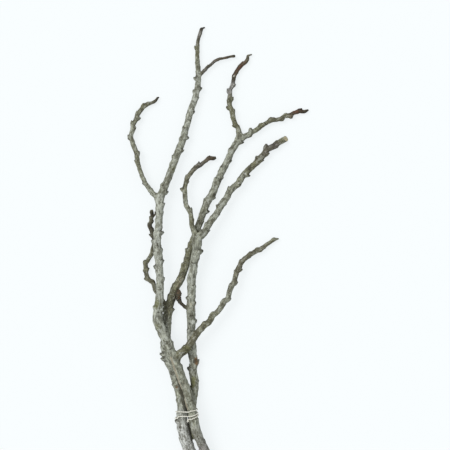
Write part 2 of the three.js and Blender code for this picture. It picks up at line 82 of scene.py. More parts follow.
UPPER_LEADER = [
  [-87.6, 72, 13.4, 13], [-83.5, 84.5, 12.7, 11.8], [-80, 93, 12.2, 11.4], [-75.7, 103, 11.6, 10.8],
  [-70.7, 116, 11, 10.8], [-66.5, 128, 10.4, 10.8], [-62.5, 138.5, 9.9, 10.8], [-58.3, 149, 9.4, 10.5],
  [-54, 160, 8.9, 10.4], [-50.2, 174.5, 8.3, 10], [-46, 189.5, 7.7, 9.7], [-42.5, 203, 7.2, 9.6],
  [-39, 213.5, 6.8, 9.6], [-35.2, 224, 6.4, 9.6], [-32.8, 234.5, 6, 9.4], [-31, 246.5, 5.6, 8.4],
  [-30.5, 258.5, 5.2, 7.9], [-31.3, 272, 4.7, 7.2], [-32.2, 284, 4.3, 6.6], [-32, 296, 3.9, 6.2],
  [-31.5, 308, 3.4, 5.6], [-29.2, 317.7, 3.1, 5.4], [-26.8, 325, 2.8, 5.2], [-25.6, 328.3, 2.8, 5],
  [-23.2, 329.6, 3, 2.4], [-20.6, 330.6, 3.2, 1.6],
]
UPPER_LEFT_SHOOT = [
  [-88, 69, 13.6, 9], [-93.2, 76.2, 13.2, 8.4], [-98.5, 81, 12.8, 7.6], [-105.8, 90.5, 12.2, 7],
  [-111.2, 99, 11.6, 6.8], [-115.6, 109.4, 11, 6.6], [-119, 118.7, 10.4, 6.5], [-121.6, 129.5, 9.8, 7],
  [-123, 140, 9.2, 7.4], [-125.6, 147.5, 8.8, 7.2], [-130.5, 161, 8, 6.6], [-131.8, 167, 7.7, 7.2],
  [-129.5, 176, 7.2, 6.8], [-128.2, 183.5, 6.8, 6.9], [-124, 192.5, 6.3, 7.2], [-121.5, 199.2, 5.9, 6.9],
  [-116.5, 206.3, 5.4, 6.6], [-111.7, 212, 5, 6.8], [-106, 215, 4.6, 5.6], [-100, 217.4, 4.2, 4.8],
  [-94.7, 220.5, 3.7, 4.6], [-91.6, 224.7, 3.2, 3.2], [-89.5, 225.5, 3, 1.4],
]
UPPER_SIDE_TWIG = [
  [-31, 257, 5.3, 5.4], [-25.7, 261, 5.4, 5.2], [-19, 268.2, 5.6, 4.5], [-12.2, 274, 5.8, 4.3],
  [-6.2, 279.2, 5.8, 4.2], [-0.2, 282.6, 5.6, 4.3], [6.5, 283.8, 5.2, 3.9], [13.2, 285.5, 4.8, 3.7],
  [19.2, 286.8, 4.4, 3.6], [23.5, 287.3, 4.2, 4.4], [25, 287.4, 4.2, 2.4],
]
UPPER_RIGHT_SHOOT = [
  [-64, -165, 22.6, 12.6], [-56.5, -157.5, 22.4, 12.4], [-51.2, -153.7, 22, 11.6],
  [-43, -144.2, 21.4, 11.2], [-36.5, -134.5, 20.8, 10.6], [-30.2, -125.5, 20, 9.9],
  [-22, -117.2, 19.2, 9.5], [-12.2, -108.2, 18.3, 8.9], [-8.5, -101.5, 17.8, 8.6],
  [-2.5, -96.7, 17.2, 8.4], [3.8, -89, 16.5, 8.4], [7.2, -82.7, 16, 8.2],
  [13.7, -76, 15.3, 8.1], [15.8, -67, 14.5, 7.8], [18.8, -59.5, 13.8, 8], [23.5, -50.5, 13, 7.8],
  [25.7, -40.7, 12.2, 7.8], [29, -32.5, 11.4, 7.8], [32.5, -25.7, 10.7, 7.6], [36, -20.5, 10.1, 7.5],
  [41.8, -15, 9.3, 7.4], [47.5, -11, 8.5, 7.2], [55, -6.2, 7.6, 7], [62.8, -2.5, 6.7, 6.8],
  [70, 2.3, 5.8, 6.2], [77, 7.4, 4.8, 6], [83.8, 11.5, 3.8, 5.2], [87.5, 12.5, 3.2, 3.6],
  [90.3, 12.8, 2.9, 1.8],
]
MIDDLE_STEM = [
  [-34.6, -287, 5.9, 11.2], [-37.4, -274.5, 6.2, 11.3], [-39.4, -263.5, 7.4, 11.5],
  [-40.6, -253.5, 8.3, 11.6], [-40.2, -243, 8.6, 11.6], [-38.8, -231, 8.6, 11.6],
  [-37, -217, 8.2, 11.7], [-36.2, -202, 7.8, 12], [-38.6, -187, 7.4, 12.8], [-37.8, -173.5, 7.2, 12.4],
  [-39.5, -160, 7.2, 13.4], [-40.3, -148, 7.2, 13.2], [-41.2, -136, 7.4, 12.6], [-41.2, -121, 8, 12],
  [-41, -107.5, 8.8, 13], [-41.5, -92.5, 10, 12.8], [-40.8, -77.5, 11.4, 12.8], [-40.8, -62.5, 13, 12.6],
  [-40.8, -49, 14.4, 12.6], [-38.5, -34, 16, 12.8], [-36.3, -20.5, 17.2, 12.6], [-33, -7, 18.2, 12.9],
  [-32.2, 5, 18.6, 13.4], [-31, 13, 18.6, 13.8],
]
MIDDLE_CUT_SHOOT = [
  [-30.6, 13.8, 18.6, 13.6], [-23.2, 20.5, 17.9, 11.2], [-18.6, 27.5, 17.3, 10.8],
  [-13.8, 35.8, 16.6, 10.4], [-7, 44.8, 15.8, 9.8], [0, 55.3, 14.9, 9.7],
  [5, 65, 14.1, 10.4], [11, 72.8, 13.4, 9.6],
  [16, 82.3, 12.6, 9.6], [22, 89.8, 11.9, 9.9], [29.6, 96.5, 11.1, 9.6], [35.5, 105.8, 10.2, 9.8],
  [43.4, 114.5, 9.3, 9.2], [52.3, 122.8, 8.5, 9.4], [60, 131, 7.8, 10], [67.3, 138.5, 7.1, 9.3],
  [72.5, 146.7, 6.5, 9.7], [81.5, 151.3, 5.9, 9.2], [89.8, 156.8, 5.3, 8.7], [97, 161, 4.8, 8.6],
  [102.5, 164, 4.5, 8.8],
]
MIDDLE_CURLED_SHOOT = [
  [-33, 9, 18.6, 9.6], [-36, 20.5, 18.2, 8.6], [-39.5, 32, 17.2, 7.2], [-40.6, 41.7, 16.4, 7],
  [-42, 50.8, 15.6, 7], [-46.3, 59, 14.8, 6.6], [-49.5, 66.5, 14.1, 6.9], [-50.2, 77, 13.2, 7.2],
  [-50.8, 86.8, 12.3, 6.8], [-49.6, 95.8, 11.5, 6.7], [-47.2, 103.3, 10.8, 7.2], [-41.8, 111.5, 9.9, 7],
  [-34, 119.8, 8.8, 7], [-27.3, 123.2, 7.8, 5.8], [-20, 129.5, 6.8, 5.7], [-13.3, 133.7, 5.7, 6.4],
  [-7.8, 133.7, 4.8, 6], [-4.2, 134.9, 4.2, 3.8],
]
MIDDLE_SPUR_TWIG = [
  [-43.5, -91, 10.4, 6], [-49, -89.8, 11, 5.2], [-53.3, -86.3, 11.8, 4.2], [-57.3, -81.5, 12.6, 4.2],
  [-59.8, -76.4, 13.4, 4.8], [-60.2, -71.2, 14, 5.8], [-59.8, -66.2, 14.2, 5.2], [-59.2, -62.8, 14.2, 2.4],
]
LOWER_STEM = [
  [-37.8, -330, 9.4, 18.6], [-43.3, -305.5, 9.4, 18.4], [-49.3, -287.5, 9.5, 18.8], [-53, -271, 10, 18.2],
  [-55.2, -257.5, 10.8, 16.8], [-54.5, -244, 10.9, 15.6], [-55.3, -229, 10.6, 15.8],
  [-58.3, -214, 9.9, 16.4], [-62.5, -197.5, 9.4, 16.8], [-67.8, -181, 9, 16.4],
  [-73.5, -169, 8.7, 16.6], [-77, -157, 8.4, 16.4], [-79.3, -143.5, 8, 15.8],
  [-78.7, -130, 7.7, 14.6], [-78, -115, 7.2, 14], [-76.4, -100, 6.9, 13.6],
  [-73.5, -85, 7, 13.4], [-68.8, -71.5, 6.8, 12.6], [-63.3, -58, 6.3, 11.8], [-56.8, -47.5, 6.1, 11.8],
  [-52, -34, 6, 11.6], [-47.5, -20.5, 5.9, 11.4], [-43, -4, 5.8, 11.2], [-38.5, 9.5, 5.7, 10.8],
  [-33.5, 23, 5.6, 10.4], [-29.2, 35, 5.6, 10.2], [-24.5, 48.5, 5.6, 10.4], [-20.2, 60.5, 5.8, 10.6],
  [-15.2, 71.8, 6, 11.2], [-9, 81.5, 6, 11], [-3, 96.5, 6, 11.2], [3, 110, 5.8, 10.6],
  [9.2, 122, 5.6, 10.2], [15, 134, 5.6, 9.8], [20.3, 146, 5.6, 9.6], [26.5, 155.7, 5.7, 10.2],
  [31, 164, 5.8, 11.4],
]
LOWER_LEFT_SHOOT = [
  [31.2, 165, 5.8, 10.8], [30.6, 173, 5.8, 8], [28.4, 179.5, 5.9, 7], [24.8, 185.5, 6, 7.2],
  [22.4, 192.5, 6.2, 7.1], [20.9, 199.3, 6.4, 7.6], [19.4, 206, 6.4, 7.5], [16.4, 213.5, 6.4, 6.8],
  [16.7, 221.7, 6.2, 7.4], [17, 229.2, 6, 6.8], [17.4, 236.7, 5.6, 6.4], [20.9, 244.2, 5.2, 6],
  [22.4, 251.8, 4.8, 6.2], [24, 258.8, 4.4, 6.4], [28.1, 266, 4, 6.2], [33.5, 273, 3.8, 6.6],
  [40, 278, 3.6, 6], [43.4, 283.3, 3.4, 5], [44, 287.8, 3.2, 3.8], [46.4, 288.8, 3.2, 2.8],
  [50, 290, 3.4, 1.4],
]
LOWER_RIGHT_SHOOT = [
  [29, 160, 5.8, 9], [36.5, 165, 6, 8.8], [44, 168.8, 6.2, 8.4], [51.5, 173.6, 6.4, 6.8],
  [58.7, 177.5, 6.4, 6.5], [65, 182.6, 6.3, 6.9], [73.2, 187.5, 6.1, 6.6], [80.5, 191, 5.8, 6.8],
  [86.8, 191.6, 5.4, 6.1], [94, 193.7, 5, 6.4], [101, 197.6, 4.6, 6.7], [107.5, 198.8, 4.2, 6.1],
  [114.5, 202.5, 3.8, 6], [122, 204.7, 3.4, 6.3], [128.4, 204, 3, 5.2], [131.8, 205.2, 2.8, 4.2],
  [135, 206.6, 2.8, 2.2],
]
LOWER_WAVY_SHOOT = [
  [-76, -92, 6.8, 6.6], [-82.5, -83, 6, 6.4], [-89.5, -73, 5.4, 6.4], [-95.5, -63.2, 4.9, 6.4],
  [-98.8, -53.5, 4.6, 6.6], [-106.3, -46.5, 4.4, 6.4], [-109.2, -36.2, 4.3, 6.8], [-109.3, -24.2, 4.3, 6.6],
  [-104.8, -17, 4.4, 6.3], [-100.3, -9.2, 4.5, 6.4], [-99, -0.2, 4.8, 5], [-97.6, 7.3, 5, 4.8],
  [-98.2, 14.8, 5.2, 5.2], [-100.3, 23.8, 5.2, 6.2], [-103.2, 32, 5, 6.4], [-102, 39.5, 4.8, 4.8],
  [-99.8, 47, 4.6, 5.8], [-100.2, 53.3, 4.4, 5], [-100, 56.6, 4.4, 2.6],
]
LOWER_WAVY_SPUR = [
  [-99.6, 46.5, 4.7, 3.4], [-96.6, 48, 5.1, 2.8], [-94.9, 51.5, 5.5, 2.6], [-95.4, 54, 5.7, 1.6],
]

# Bud ledges: [x, y] of the point of each, as it stands out of the side of its limb.
UPPER_LIMB_LEDGES = [
  [-67.6, -141.5], [-97.6, -88], [-80.5, -46], [-97.5, -28], [-81.5, -19], [-83.8, -2.5], [-100.3, 10.3],
  [-82, 22.3], [-80.7, 65],
]
UPPER_LEADER_LEDGES = [
  [-75.5, 83], [-86, 94.3], [-69.5, 137.8], [-52.5, 144.5], [-59, 164.3], [-44.6, 165.8], [-54, 181.3],
  [-35.8, 204], [-29.5, 225.5], [-38.8, 236], [-25.3, 239], [-37.6, 254.8], [-36.4, 301.3],
]
UPPER_LEFT_LEDGES = [
  [-114.7, 96.2], [-126.5, 130.3], [-118.3, 143], [-137.5, 167.3], [-124, 179.5], [-131.5, 189],
  [-117, 194.5], [-123.7, 203.8], [-113.8, 216], [-106, 218.8],
]
UPPER_RIGHT_LEDGES = [
  [-52.5, -146], [-40, -150.5], [-37, -126], [-23, -110.5], [-10, -96], [6.2, -77.2], [17.6, -78.6],
  [17, -55.6], [28.7, -52], [23.9, -34], [35.8, -33], [31.7, -19], [46.3, -7], [58, 0.2],
  [65, -4.8], [83, 13.4],
]
MIDDLE_STEM_LEDGES = [
  [-29.5, -199.8], [-47.2, -180.7], [-29.8, -169.5], [-33, -109], [-33.3, -82], [-49, -73.8], [-23, -4],
]
MIDDLE_CUT_LEDGES = [
  [-14.2, 24.5], [-27.6, 26.5], [-20, 36], [-3.3, 63.5], [11.5, 64], [14.5, 91], [33.2, 92.3],
  [46.4, 107], [56.6, 137], [67.6, 130], [76.4, 140.5], [71.5, 155.3], [88.5, 150],
]
MIDDLE_CURLED_LEDGES = [
  [-40.3, 59], [-57.1, 89.3], [-44, 98.8], [-49.5, 107.8], [-30, 128], [-14.8, 136.7],
]
MIDDLE_SPUR_LEDGES = [
  [-63.6, -78], [-56.2, -76.5], [-64, -71.5], [-56, -70.5], [-63.2, -66], [-56.6, -65], [-57.6, -83.5],
]
LOWER_STEM_LEDGES = [
  [-65.8, -257.8], [-70.3, -205.8], [-86.8, -166], [-87.8, -159], [-87.6, -149.5], [-87.8, -142.5],
  [-84.4, -109], [-83.9, -101.5], [-84.3, -92.5], [-66.4, -93.3], [-76, -71], [-68.5, -53.5], [-54.6, -25],
  [-50.2, -1.8], [-22, 72], [-13.6, 54.5], [-6.5, 103.5], [-4.8, 74.8], [6.2, 104], [3.5, 122],
  [19.4, 130.3], [17, 148.3], [37, 156.8],
]
LOWER_LEFT_LEDGES = [
  [20.3, 182.8], [24.2, 206], [11.3, 210], [12.8, 221], [22, 224], [12.5, 236], [25.7, 245], [35.8, 278.3],
]
LOWER_RIGHT_LEDGES = [
  [47.8, 179], [49.3, 166.3], [62, 186.5], [78.5, 195.5], [98, 190.5], [100.3, 201.5], [111.5, 194.8],
  [123.5, 207.8],
]
LOWER_WAVY_LEDGES = [
  [-97.8, -49.5], [-112, -46.8], [-104.5, -31.8], [-113.8, -34.3], [-112.8, -19.8], [-106, 36],
  [-94.6, 10], [-104.4, 19], [-98.8, 29], [-97.4, 40], [-104, 47], [-103.4, 54],
]

RING_STEP = 0.65  # spacing of the rings of a skin
SIDE_STEP = 0.95  # widest spacing of the places round a ring
LEAST_SIDES = 26
AXIS_STEPS = 14  # places on an axis between two rows
DIRECTION_REACH = 1.6  # how far ahead of a place and behind it the direction of a limb is taken
CUT_SLANT = 5.0  # how far the upper side of the sawn tip stands back from its lower side
CUT_LEVEL = 0.35  # share of that slant half way up the limb
CUT_REACH = 9.0  # length of the limb that the slanting cut bears on
LEDGE_RAMP = 6.2  # length over which a bud ledge swells out of the limb
LEDGE_DROP = 1.5  # length over which it falls back on the side of the tip
LEDGE_LEAST = 0.7  # least height of a ledge
STAND_CLEAR = 0.12  # least height of any bark above the surface that the bunch lies on
TINY = 1e-9  # least length that anything is divided by

# Whole numbers that scatter the cells of the noise
CELL_KEYS = np.array([73856093, 19349663, 83492791])
SEED_KEY = 7919
MIX_KEY = 1274126177
KEY_BITS = 0x7FFFFFFF
VALUE_BITS = 0xFFFF


class Slot(Enum):
    """Material slots of the part."""

    STEM_BARK = "stem_bark"
    SHOOT_BARK = "shoot_bark"
    TWIG_BARK = "twig_bark"
    STRING = "string"


class Tint(Enum):
    """Colours of bark, as linear red, green and blue."""

    GREY = (0.255, 0.262, 0.205)
    PALE_GREY = (0.345, 0.355, 0.300)
    SILVER = (0.430, 0.435, 0.410)
    VIOLET_GREY = (0.225, 0.215, 0.200)
    OLIVE = (0.165, 0.162, 0.098)
    DULL = (0.138, 0.130, 0.086)
    BROWN = (0.086, 0.064, 0.040)
    RED_BROWN = (0.088, 0.043, 0.026)
    ASH = (0.112, 0.100, 0.085)
    DARK = (0.035, 0.028, 0.019)


class Stain(Enum):
    """Kinds of mark on the bark, each with its own mask on the skin; SHADE is painted shade."""

    MOSS = 0
    PALE = 1
    RUST = 2
    # painted shade: in gaps between touching stems, in forks and hollows, on sides away from the light and
    # beside knobs, where the bark is also dark
    SHADE = 3
    # tan streaks, and a painted highlight along one rim of the upper stem
    TAN = 4


@dataclass(frozen=True)
class Mark:
    """A stain, a patch of painted shade or a painted highlight on the side of a branch that faces up.

    Args:
        x: place from left to right in millimetres.
        y: place along the bunch in millimetres.
        size: reach of the stain in millimetres.
        stain: which kind it is.
        strength: how much of the stain shows in its middle.
        reach: how far the stain runs on from that place, to the right and along the bunch.
    """

    x: float
    y: float
    size: float
    stain: Stain
    strength: float = 1.0
    reach: tuple[float, float] = (0.0, 0.0)

    def away(self, points: np.ndarray) -> np.ndarray:
        """Distance of places from the stain, seen from above.

        Args:
            points: places in millimetres.

        Returns:
            One distance for each place.
        """
        start = np.array([self.x, self.y])
        run = np.array(self.reach)
        offset = points[..., :2] - start
        share = np.clip(offset @ run / max(float(run @ run), TINY), 0.0, 1.0)
        return np.linalg.norm(offset - share[..., None] * run, axis=-1)


@dataclass(frozen=True)
class Knot:
    """A healed knot: a raised oval lip round a sunken middle.

    Args:
        x: place from left to right in millimetres.
        y: place along the bunch in millimetres.
        size: radius of the lip in millimetres.
        lip: height of the lip in millimetres.
    """

    x: float
    y: float
    size: float
    lip: float

    LENGTH = 1.35  # its length along the limb beside its width
    LIP_WIDTH = 0.45  # as a share of its size, as the next one is
    HOLLOW_WIDTH = 0.7
    HOLLOW_DEPTH = 0.8  # beside the height of the lip
    # how dark the sunken middle is painted, as shade in the hollow
    HOLLOW_DARK = 0.9


def unit(vectors: np.ndarray) -> np.ndarray:
    """Vectors made one long."""
    return vectors / np.maximum(np.linalg.norm(vectors, axis=-1, keepdims=True), TINY)


def smooth_step(values: np.ndarray) -> np.ndarray:
    """Values eased from 0 to 1."""
    part = np.clip(values, 0.0, 1.0)
    return part * part * (3.0 - 2.0 * part)


def bell(values: np.ndarray, middle: float, width: float) -> np.ndarray:
    """A curve that is 1 in its middle and falls away on both sides."""
    return np.exp(-((values - middle) / width) ** 2)


def lattice_noise(points: np.ndarray, seed: int) -> np.ndarray:
    """Smooth noise from -1 to 1 that is the same on every run.

    Args:
        points: places, with one unit between the cells of the noise.
        seed: which noise it is.

    Returns:
        One value for each place.
    """
    cell = np.floor(points).astype(np.int64)
    part = smooth_step(points - cell)
    total = np.zeros(points.shape[:-1])
    for corner in range(8):
        step = np.array([corner & 1, (corner >> 1) & 1, (corner >> 2) & 1])
        key = ((cell + step) @ CELL_KEYS + seed * SEED_KEY) & KEY_BITS
        key = ((key ^ (key >> 13)) * MIX_KEY) & KEY_BITS
        value = ((key ^ (key >> 16)) & VALUE_BITS) / (VALUE_BITS / 2) - 1.0
        total += value * np.prod(np.where(step, part, 1.0 - part), axis=-1)
    return total


def mixed_noise(points: np.ndarray, noises: list[tuple[float, float, int]]) -> np.ndarray:
    """A sum of noises, each with its strength, the size of its cells and its seed."""
    return sum(strength * lattice_noise(points / cell, seed) for strength, cell, seed in noises)


class Axis:
    """The middle line of a limb, with its radius along it.

    Args:
        rows: [x, y, z, diameter] along the line.
    """

    def __init__(self, rows: Rows) -> None:
        """Lays a smooth curve through the rows."""
        table = np.array(rows)
        points = table[:, :3]
        ends = np.vstack([2 * points[0] - points[1], points, 2 * points[-1] - points[-2]])
        pieces = [
            self._piece(ends[i:i + 4], table[i:i + 2, 3] / 2) for i in range(len(points) - 1)
        ]
        last = np.append(points[-1], table[-1, 3] / 2)
        line = np.vstack(pieces + [last])
        self.points = line[:, :3]
        self.radii = line[:, 3]
        steps = np.linalg.norm(np.diff(self.points, axis=0), axis=1)
        self.distance = np.concatenate([[0.0], np.cumsum(steps)])
        self.length = float(self.distance[-1])

    def _piece(self, four: np.ndarray, radii: np.ndarray) -> np.ndarray:
        """Places of one curved piece between two rows, without its last one.

        Args:
            four: the row before the piece, its two rows and the row after it.
            radii: radius at its two rows.

        Returns:
            [x, y, z, radius] of each place.
        """
        knots = np.concatenate([[0.0], np.cumsum(np.linalg.norm(np.diff(four, axis=0), axis=1) ** 0.5)])
        share = np.arange(AXIS_STEPS) / AXIS_STEPS
        time = (knots[1] + (knots[2] - knots[1]) * share)[:, None]
        first = [self._between(four[i], four[i + 1], knots[i], knots[i + 1], time) for i in range(3)]
        second = [
            self._between(first[i], first[i + 1], knots[i], knots[i + 2], time) for i in range(2)
        ]
        curve = self._between(second[0], second[1], knots[1], knots[2], time)
        radius = radii[0] + (radii[1] - radii[0]) * share
        return np.hstack([curve, radius[:, None]])

    @staticmethod
    def _between(
        start: np.ndarray, end: np.ndarray, first: float, last: float, time: np.ndarray
    ) -> np.ndarray:
        """Places on the way from start to end, at times between first and last."""
        return ((last - time) * start + (time - first) * end) / (last - first)

    def at(self, distance: np.ndarray) -> tuple[np.ndarray, np.ndarray, np.ndarray]:
        """Middle, radius and direction at places along the line.

        Args:
            distance: how far along the line each place is.

        Returns:
            The middles, the radii and the directions.
        """
        radius = np.interp(distance, self.distance, self.radii)
        ahead = self._on_line(np.clip(distance + DIRECTION_REACH, 0, self.length))
        behind = self._on_line(np.clip(distance - DIRECTION_REACH, 0, self.length))
        return self._on_line(distance), radius, unit(ahead - behind)

    def _on_line(self, distance: np.ndarray) -> np.ndarray:
        """The middle of the limb at places along the line."""
        return np.stack([np.interp(distance, self.distance, self.points[:, i]) for i in range(3)], -1)

    def nearest(self, x: float, y: float) -> float:
        """Distance along the line of the place nearest to a point seen from above."""
        seen = np.hypot(self.points[:, 0] - x, self.points[:, 1] - y)
        return float(self.distance[int(np.argmin(seen))])


@dataclass(frozen=True)
class Limb:
    """One limb of a branch, which stands for one node of the CAD part.

    Args:
        node: name of the CAD node.
        slot: material slot of its bark.
        rows: places along its middle.
        ledges: points of its bud ledges.
        tints: share of the way along the limb, and the colour of the bark there.
        label: last word of the name of its piece.
        bud_size: how big its side buds are beside those of the other limbs.
    """

    node: str
    slot: Slot
    rows: Rows
    ledges: Rows
    tints: list[tuple[float, Tint]]
    label: str = "bark"
    bud_size: float = 1.0


@dataclass(frozen=True)
class Run:
    """Limbs that carry on one from the other, under one unbroken skin.

    Args:
        limbs: the limbs, from the base to the tip.
        seed: which pattern of small ledges and lumps it has.
        fork: width of the fillet where it grows out of its parent, or none for a stem.
        cut_base: whether its base is a sawn face.
        cut_tip: whether its tip is a sawn face.
        knots: healed knots on its upper side.
        tight: how closely its small ledges follow each other.
    """

    limbs: list[Limb]
    seed: int
    fork: float = 0.0
    cut_base: bool = False
    cut_tip: bool = False
    knots: list[Knot] = field(default_factory=list)
    tight: float = 1.0


@dataclass
class Ledge:
    """A swelling that ends in a step on the side of the tip, with a bud on the step.

    Args:
        distance: place along the run in millimetres.
        angle: place round the run in radians, a quarter turn being the top.
        height: how far it stands out in millimetres.
        sharp: how narrow it is round the run.
        bud: length of its bud in millimetres.
    """

    distance: float
    angle: float
    height: float
    sharp: float
    bud: float


class Skin:
    """The skin of a run, as a grid of rings along it and places round each ring.

    Args:
        run: the run that it covers.
    """

    PATTERN_SHIFT = 311.0  # how far apart the patterns of two runs lie in the noise
    # Noises of the bark: height in millimetres, size of a cell across and along the limb, and seed
    NOISES = [(0.52, 7.0, 7.0, 1), (0.30, 3.0, 3.0, 2), (0.10, 1.5, 11.0, 3), (0.09, 9.0, 1.5, 4)]
    NOISE_RADIUS = 6.5  # radius of a limb on which the noises have these heights
    EDGE_WANDER = [(0.8, 3.6, 5), (0.4, 1.7, 6)]  # how far the edge of a ledge strays, cell and seed
    GROOVES = [(-2.0, 0.15), (-4.1, 0.12), (-6.3, 0.09), (3.9, 0.12)]  # place beside a ledge, and depth
    END_REACH = 4.0  # length at both ends on which the bark is calmer
    FILLET_RISE = 0.30  # height of a fillet as a share of its width
    FILLET_NEAR = 5.0  # how many widths a fillet may lie from its fork

    # Ledges that stand out of the side: the ends of the range in which each value is drawn
    SIDE_TURN = (-0.1, 0.35)  # turn towards the top, in radians
    SIDE_BUD = (1.5, 2.1)
    SIDE_SHARP = 1.3
    SIDE_GROWTH = 1.2  # height of a ledge for each millimetre that its point stands out
    SIDE_MORE = 0.3  # and its height beyond that

    # Smaller ledges on the top and underneath
    SMALL_TURN = math.radians(137.5)  # from one to the next, as leaves follow round a shoot
    SMALL_TURN_MORE = (-0.3, 0.3)
    SMALL_HEIGHT = (0.7, 1.5)
    SMALL_BUD = (1.2, 1.9)
    SMALL_SPACING = (6.5, 12.0)
    SMALL_SHARP = 1.8
    SMALL_SHARE = 0.55  # share of height and spacing that the thinnest limb has
    SMALL_LOWER = 0.35  # how much lower they are at the sides
    SMALL_FROM_BASE = 10.0
    SMALL_FROM_TIP = 9.0
    SMALL_CLEAR = 2.5  # least distance from a ledge at the side

    def __init__(self, run: Run) -> None:
        """Works out the places of the skin."""
        self.run = run
        rows = list(run.limbs[0].rows)
        for limb in run.limbs[1:]:
            rows += limb.rows[1:]
        self.axis = Axis(rows)
        self.rng = np.random.default_rng(run.seed)
        steps = int(round(self.axis.length / RING_STEP))
        self.along = np.linspace(0.0, self.axis.length, steps + 1)
        sides = max(LEAST_SIDES, int(round(2 * math.pi * self.axis.radii.max() / SIDE_STEP)))
        self.around = np.arange(sides) * (2 * math.pi / sides)
        self.middle, self.radius, self.tangent = self.axis.at(self.along)
        level = np.stack([self.tangent[:, 1], -self.tangent[:, 0], np.zeros(len(self.along))], -1)
        self.side = unit(level)
        self.up = np.cross(self.side, self.tangent)
        cos = np.cos(self.around)[None, :, None]
        sin = np.sin(self.around)[None, :, None]
        self.outward = self.side[:, None] * cos + self.up[:, None] * sin
        self.breaks = [0] + [self._joint(limb) for limb in run.limbs[1:]] + [steps]
        self.ledges = self._side_ledges()
        self.ledges += self._small_ledges([ledge.distance for ledge in self.ledges])
        # darkness of leaf scars, and painted shade under ledge steps, in grooves and in knot hollows
        self.scar_and_shade = np.zeros((len(self.along), sides))
        self.reach = self.radius[:, None] + self._swell()
        self.points = self.middle[:, None] + self.outward * self.reach[..., None]
        if run.cut_tip:
            self.points += self.tangent[:, None] * self._slant()[..., None]
        self.push = np.zeros_like(self.points)

    def _slant(self) -> np.ndarray:
        """How far each place moves along the limb so that the sawn tip looks up.

        Returns:
            One distance for each place of the skin.
        """
        left = (self.axis.length - self.along)[:, None]
        back = CUT_SLANT * (CUT_LEVEL + (1.0 - CUT_LEVEL) * np.sin(self.around))[None, :]
        return -back * np.clip(1.0 - left / CUT_REACH, 0.0, 1.0)

    def _joint(self, limb: Limb) -> int:
        """The ring at which a limb of the run starts."""
        start = np.array(limb.rows[0][:3])
        return int(np.argmin(np.linalg.norm(self.middle - start, axis=1)))

    def _side_ledges(self) -> list[Ledge]:
        """The ledges that stand out of the sides of the run, as its limbs state them.

        Returns:
            One ledge for each stated point.
        """
        found = []
        for limb in self.run.limbs:
            for x, y in limb.ledges:
                distance = self.axis.nearest(x, y)
                ring, out = self._beside(x, y, distance)
                height = max(abs(out) - self.radius[ring], LEDGE_LEAST)
                angle = (0.0 if out > 0 else math.pi) + self.rng.uniform(*self.SIDE_TURN) * np.sign(out)
                bud = self.rng.uniform(*self.SIDE_BUD) * limb.bud_size
                height = height * self.SIDE_GROWTH + self.SIDE_MORE
                found.append(Ledge(distance, angle, height, self.SIDE_SHARP, bud))
        return found

    def _small_ledges(self, taken: list[float]) -> list[Ledge]:
        """Smaller ledges that follow each other round the run.

        Args:
            taken: distances of the ledges that these keep clear of.

        Returns:
            The small ledges from the base to the tip.
        """
        found = []
        angle = self.rng.uniform(0, 2 * math.pi)
        distance = self.SMALL_FROM_BASE
        while distance < self.axis.length - self.SMALL_FROM_TIP:
            radius = float(np.interp(distance, self.axis.distance, self.axis.radii))
            angle += self.SMALL_TURN + self.rng.uniform(*self.SMALL_TURN_MORE)
            height = self.rng.uniform(*self.SMALL_HEIGHT) * (self.SMALL_SHARE + radius / 10)
            bud = self.rng.uniform(*self.SMALL_BUD)
            if all(abs(distance - other) > self.SMALL_CLEAR for other in taken):
                level = 1.0 - self.SMALL_LOWER * abs(math.cos(angle))
                found.append(Ledge(distance, angle, height * level, self.SMALL_SHARP, bud))
            spacing = self.rng.uniform(*self.SMALL_SPACING) * (self.SMALL_SHARE + radius / 12)
            distance += spacing / self.run.tight
        return found

    def _beside(self, x: float, y: float, distance: float) -> tuple[int, float]:
        """The ring at a distance along the run, and how far to its side a place lies."""
        ring = int(np.argmin(np.abs(self.along - distance)))
        return ring, float((np.array([x, y]) - self.middle[ring, :2]) @ self.side[ring, :2])

    def _swell(self) -> np.ndarray:
        """How far the bark stands out of the plain tube, where it is scarred and where shade is painted on
        it.

        Returns:
            The height of each place of the skin above the tube.
        """
        turn = np.cos(self.around[None, :])
        tilt = np.sin(self.around[None, :])
        plain = np.stack([
            self.radius[:, None] * turn, self.radius[:, None] * tilt,
            np.broadcast_to(self.along[:, None], (len(self.along), len(self.around))),
        ], -1) + np.array([0.0, 0.0, self.PATTERN_SHIFT * self.run.seed])
        size = np.clip(self.radius[:, None] / self.NOISE_RADIUS, 0.35, 1.3)
        swell = sum(
            height * size * lattice_noise(plain / np.array([across, across, along]), seed)
            for height, across, along, seed in self.NOISES
        )
        wander = mixed_noise(plain, self.EDGE_WANDER)
        crests = np.zeros_like(swell)
        for ledge in self.ledges:
            self._raise_ledge(ledge, wander, size, swell, crests)
        swell += crests
        for knot in self.run.knots:
            swell += self._knot(knot)
        ends = np.minimum(self.along, self.axis.length - self.along)[:, None]
        return swell * smooth_step(0.15 + ends / self.END_REACH)

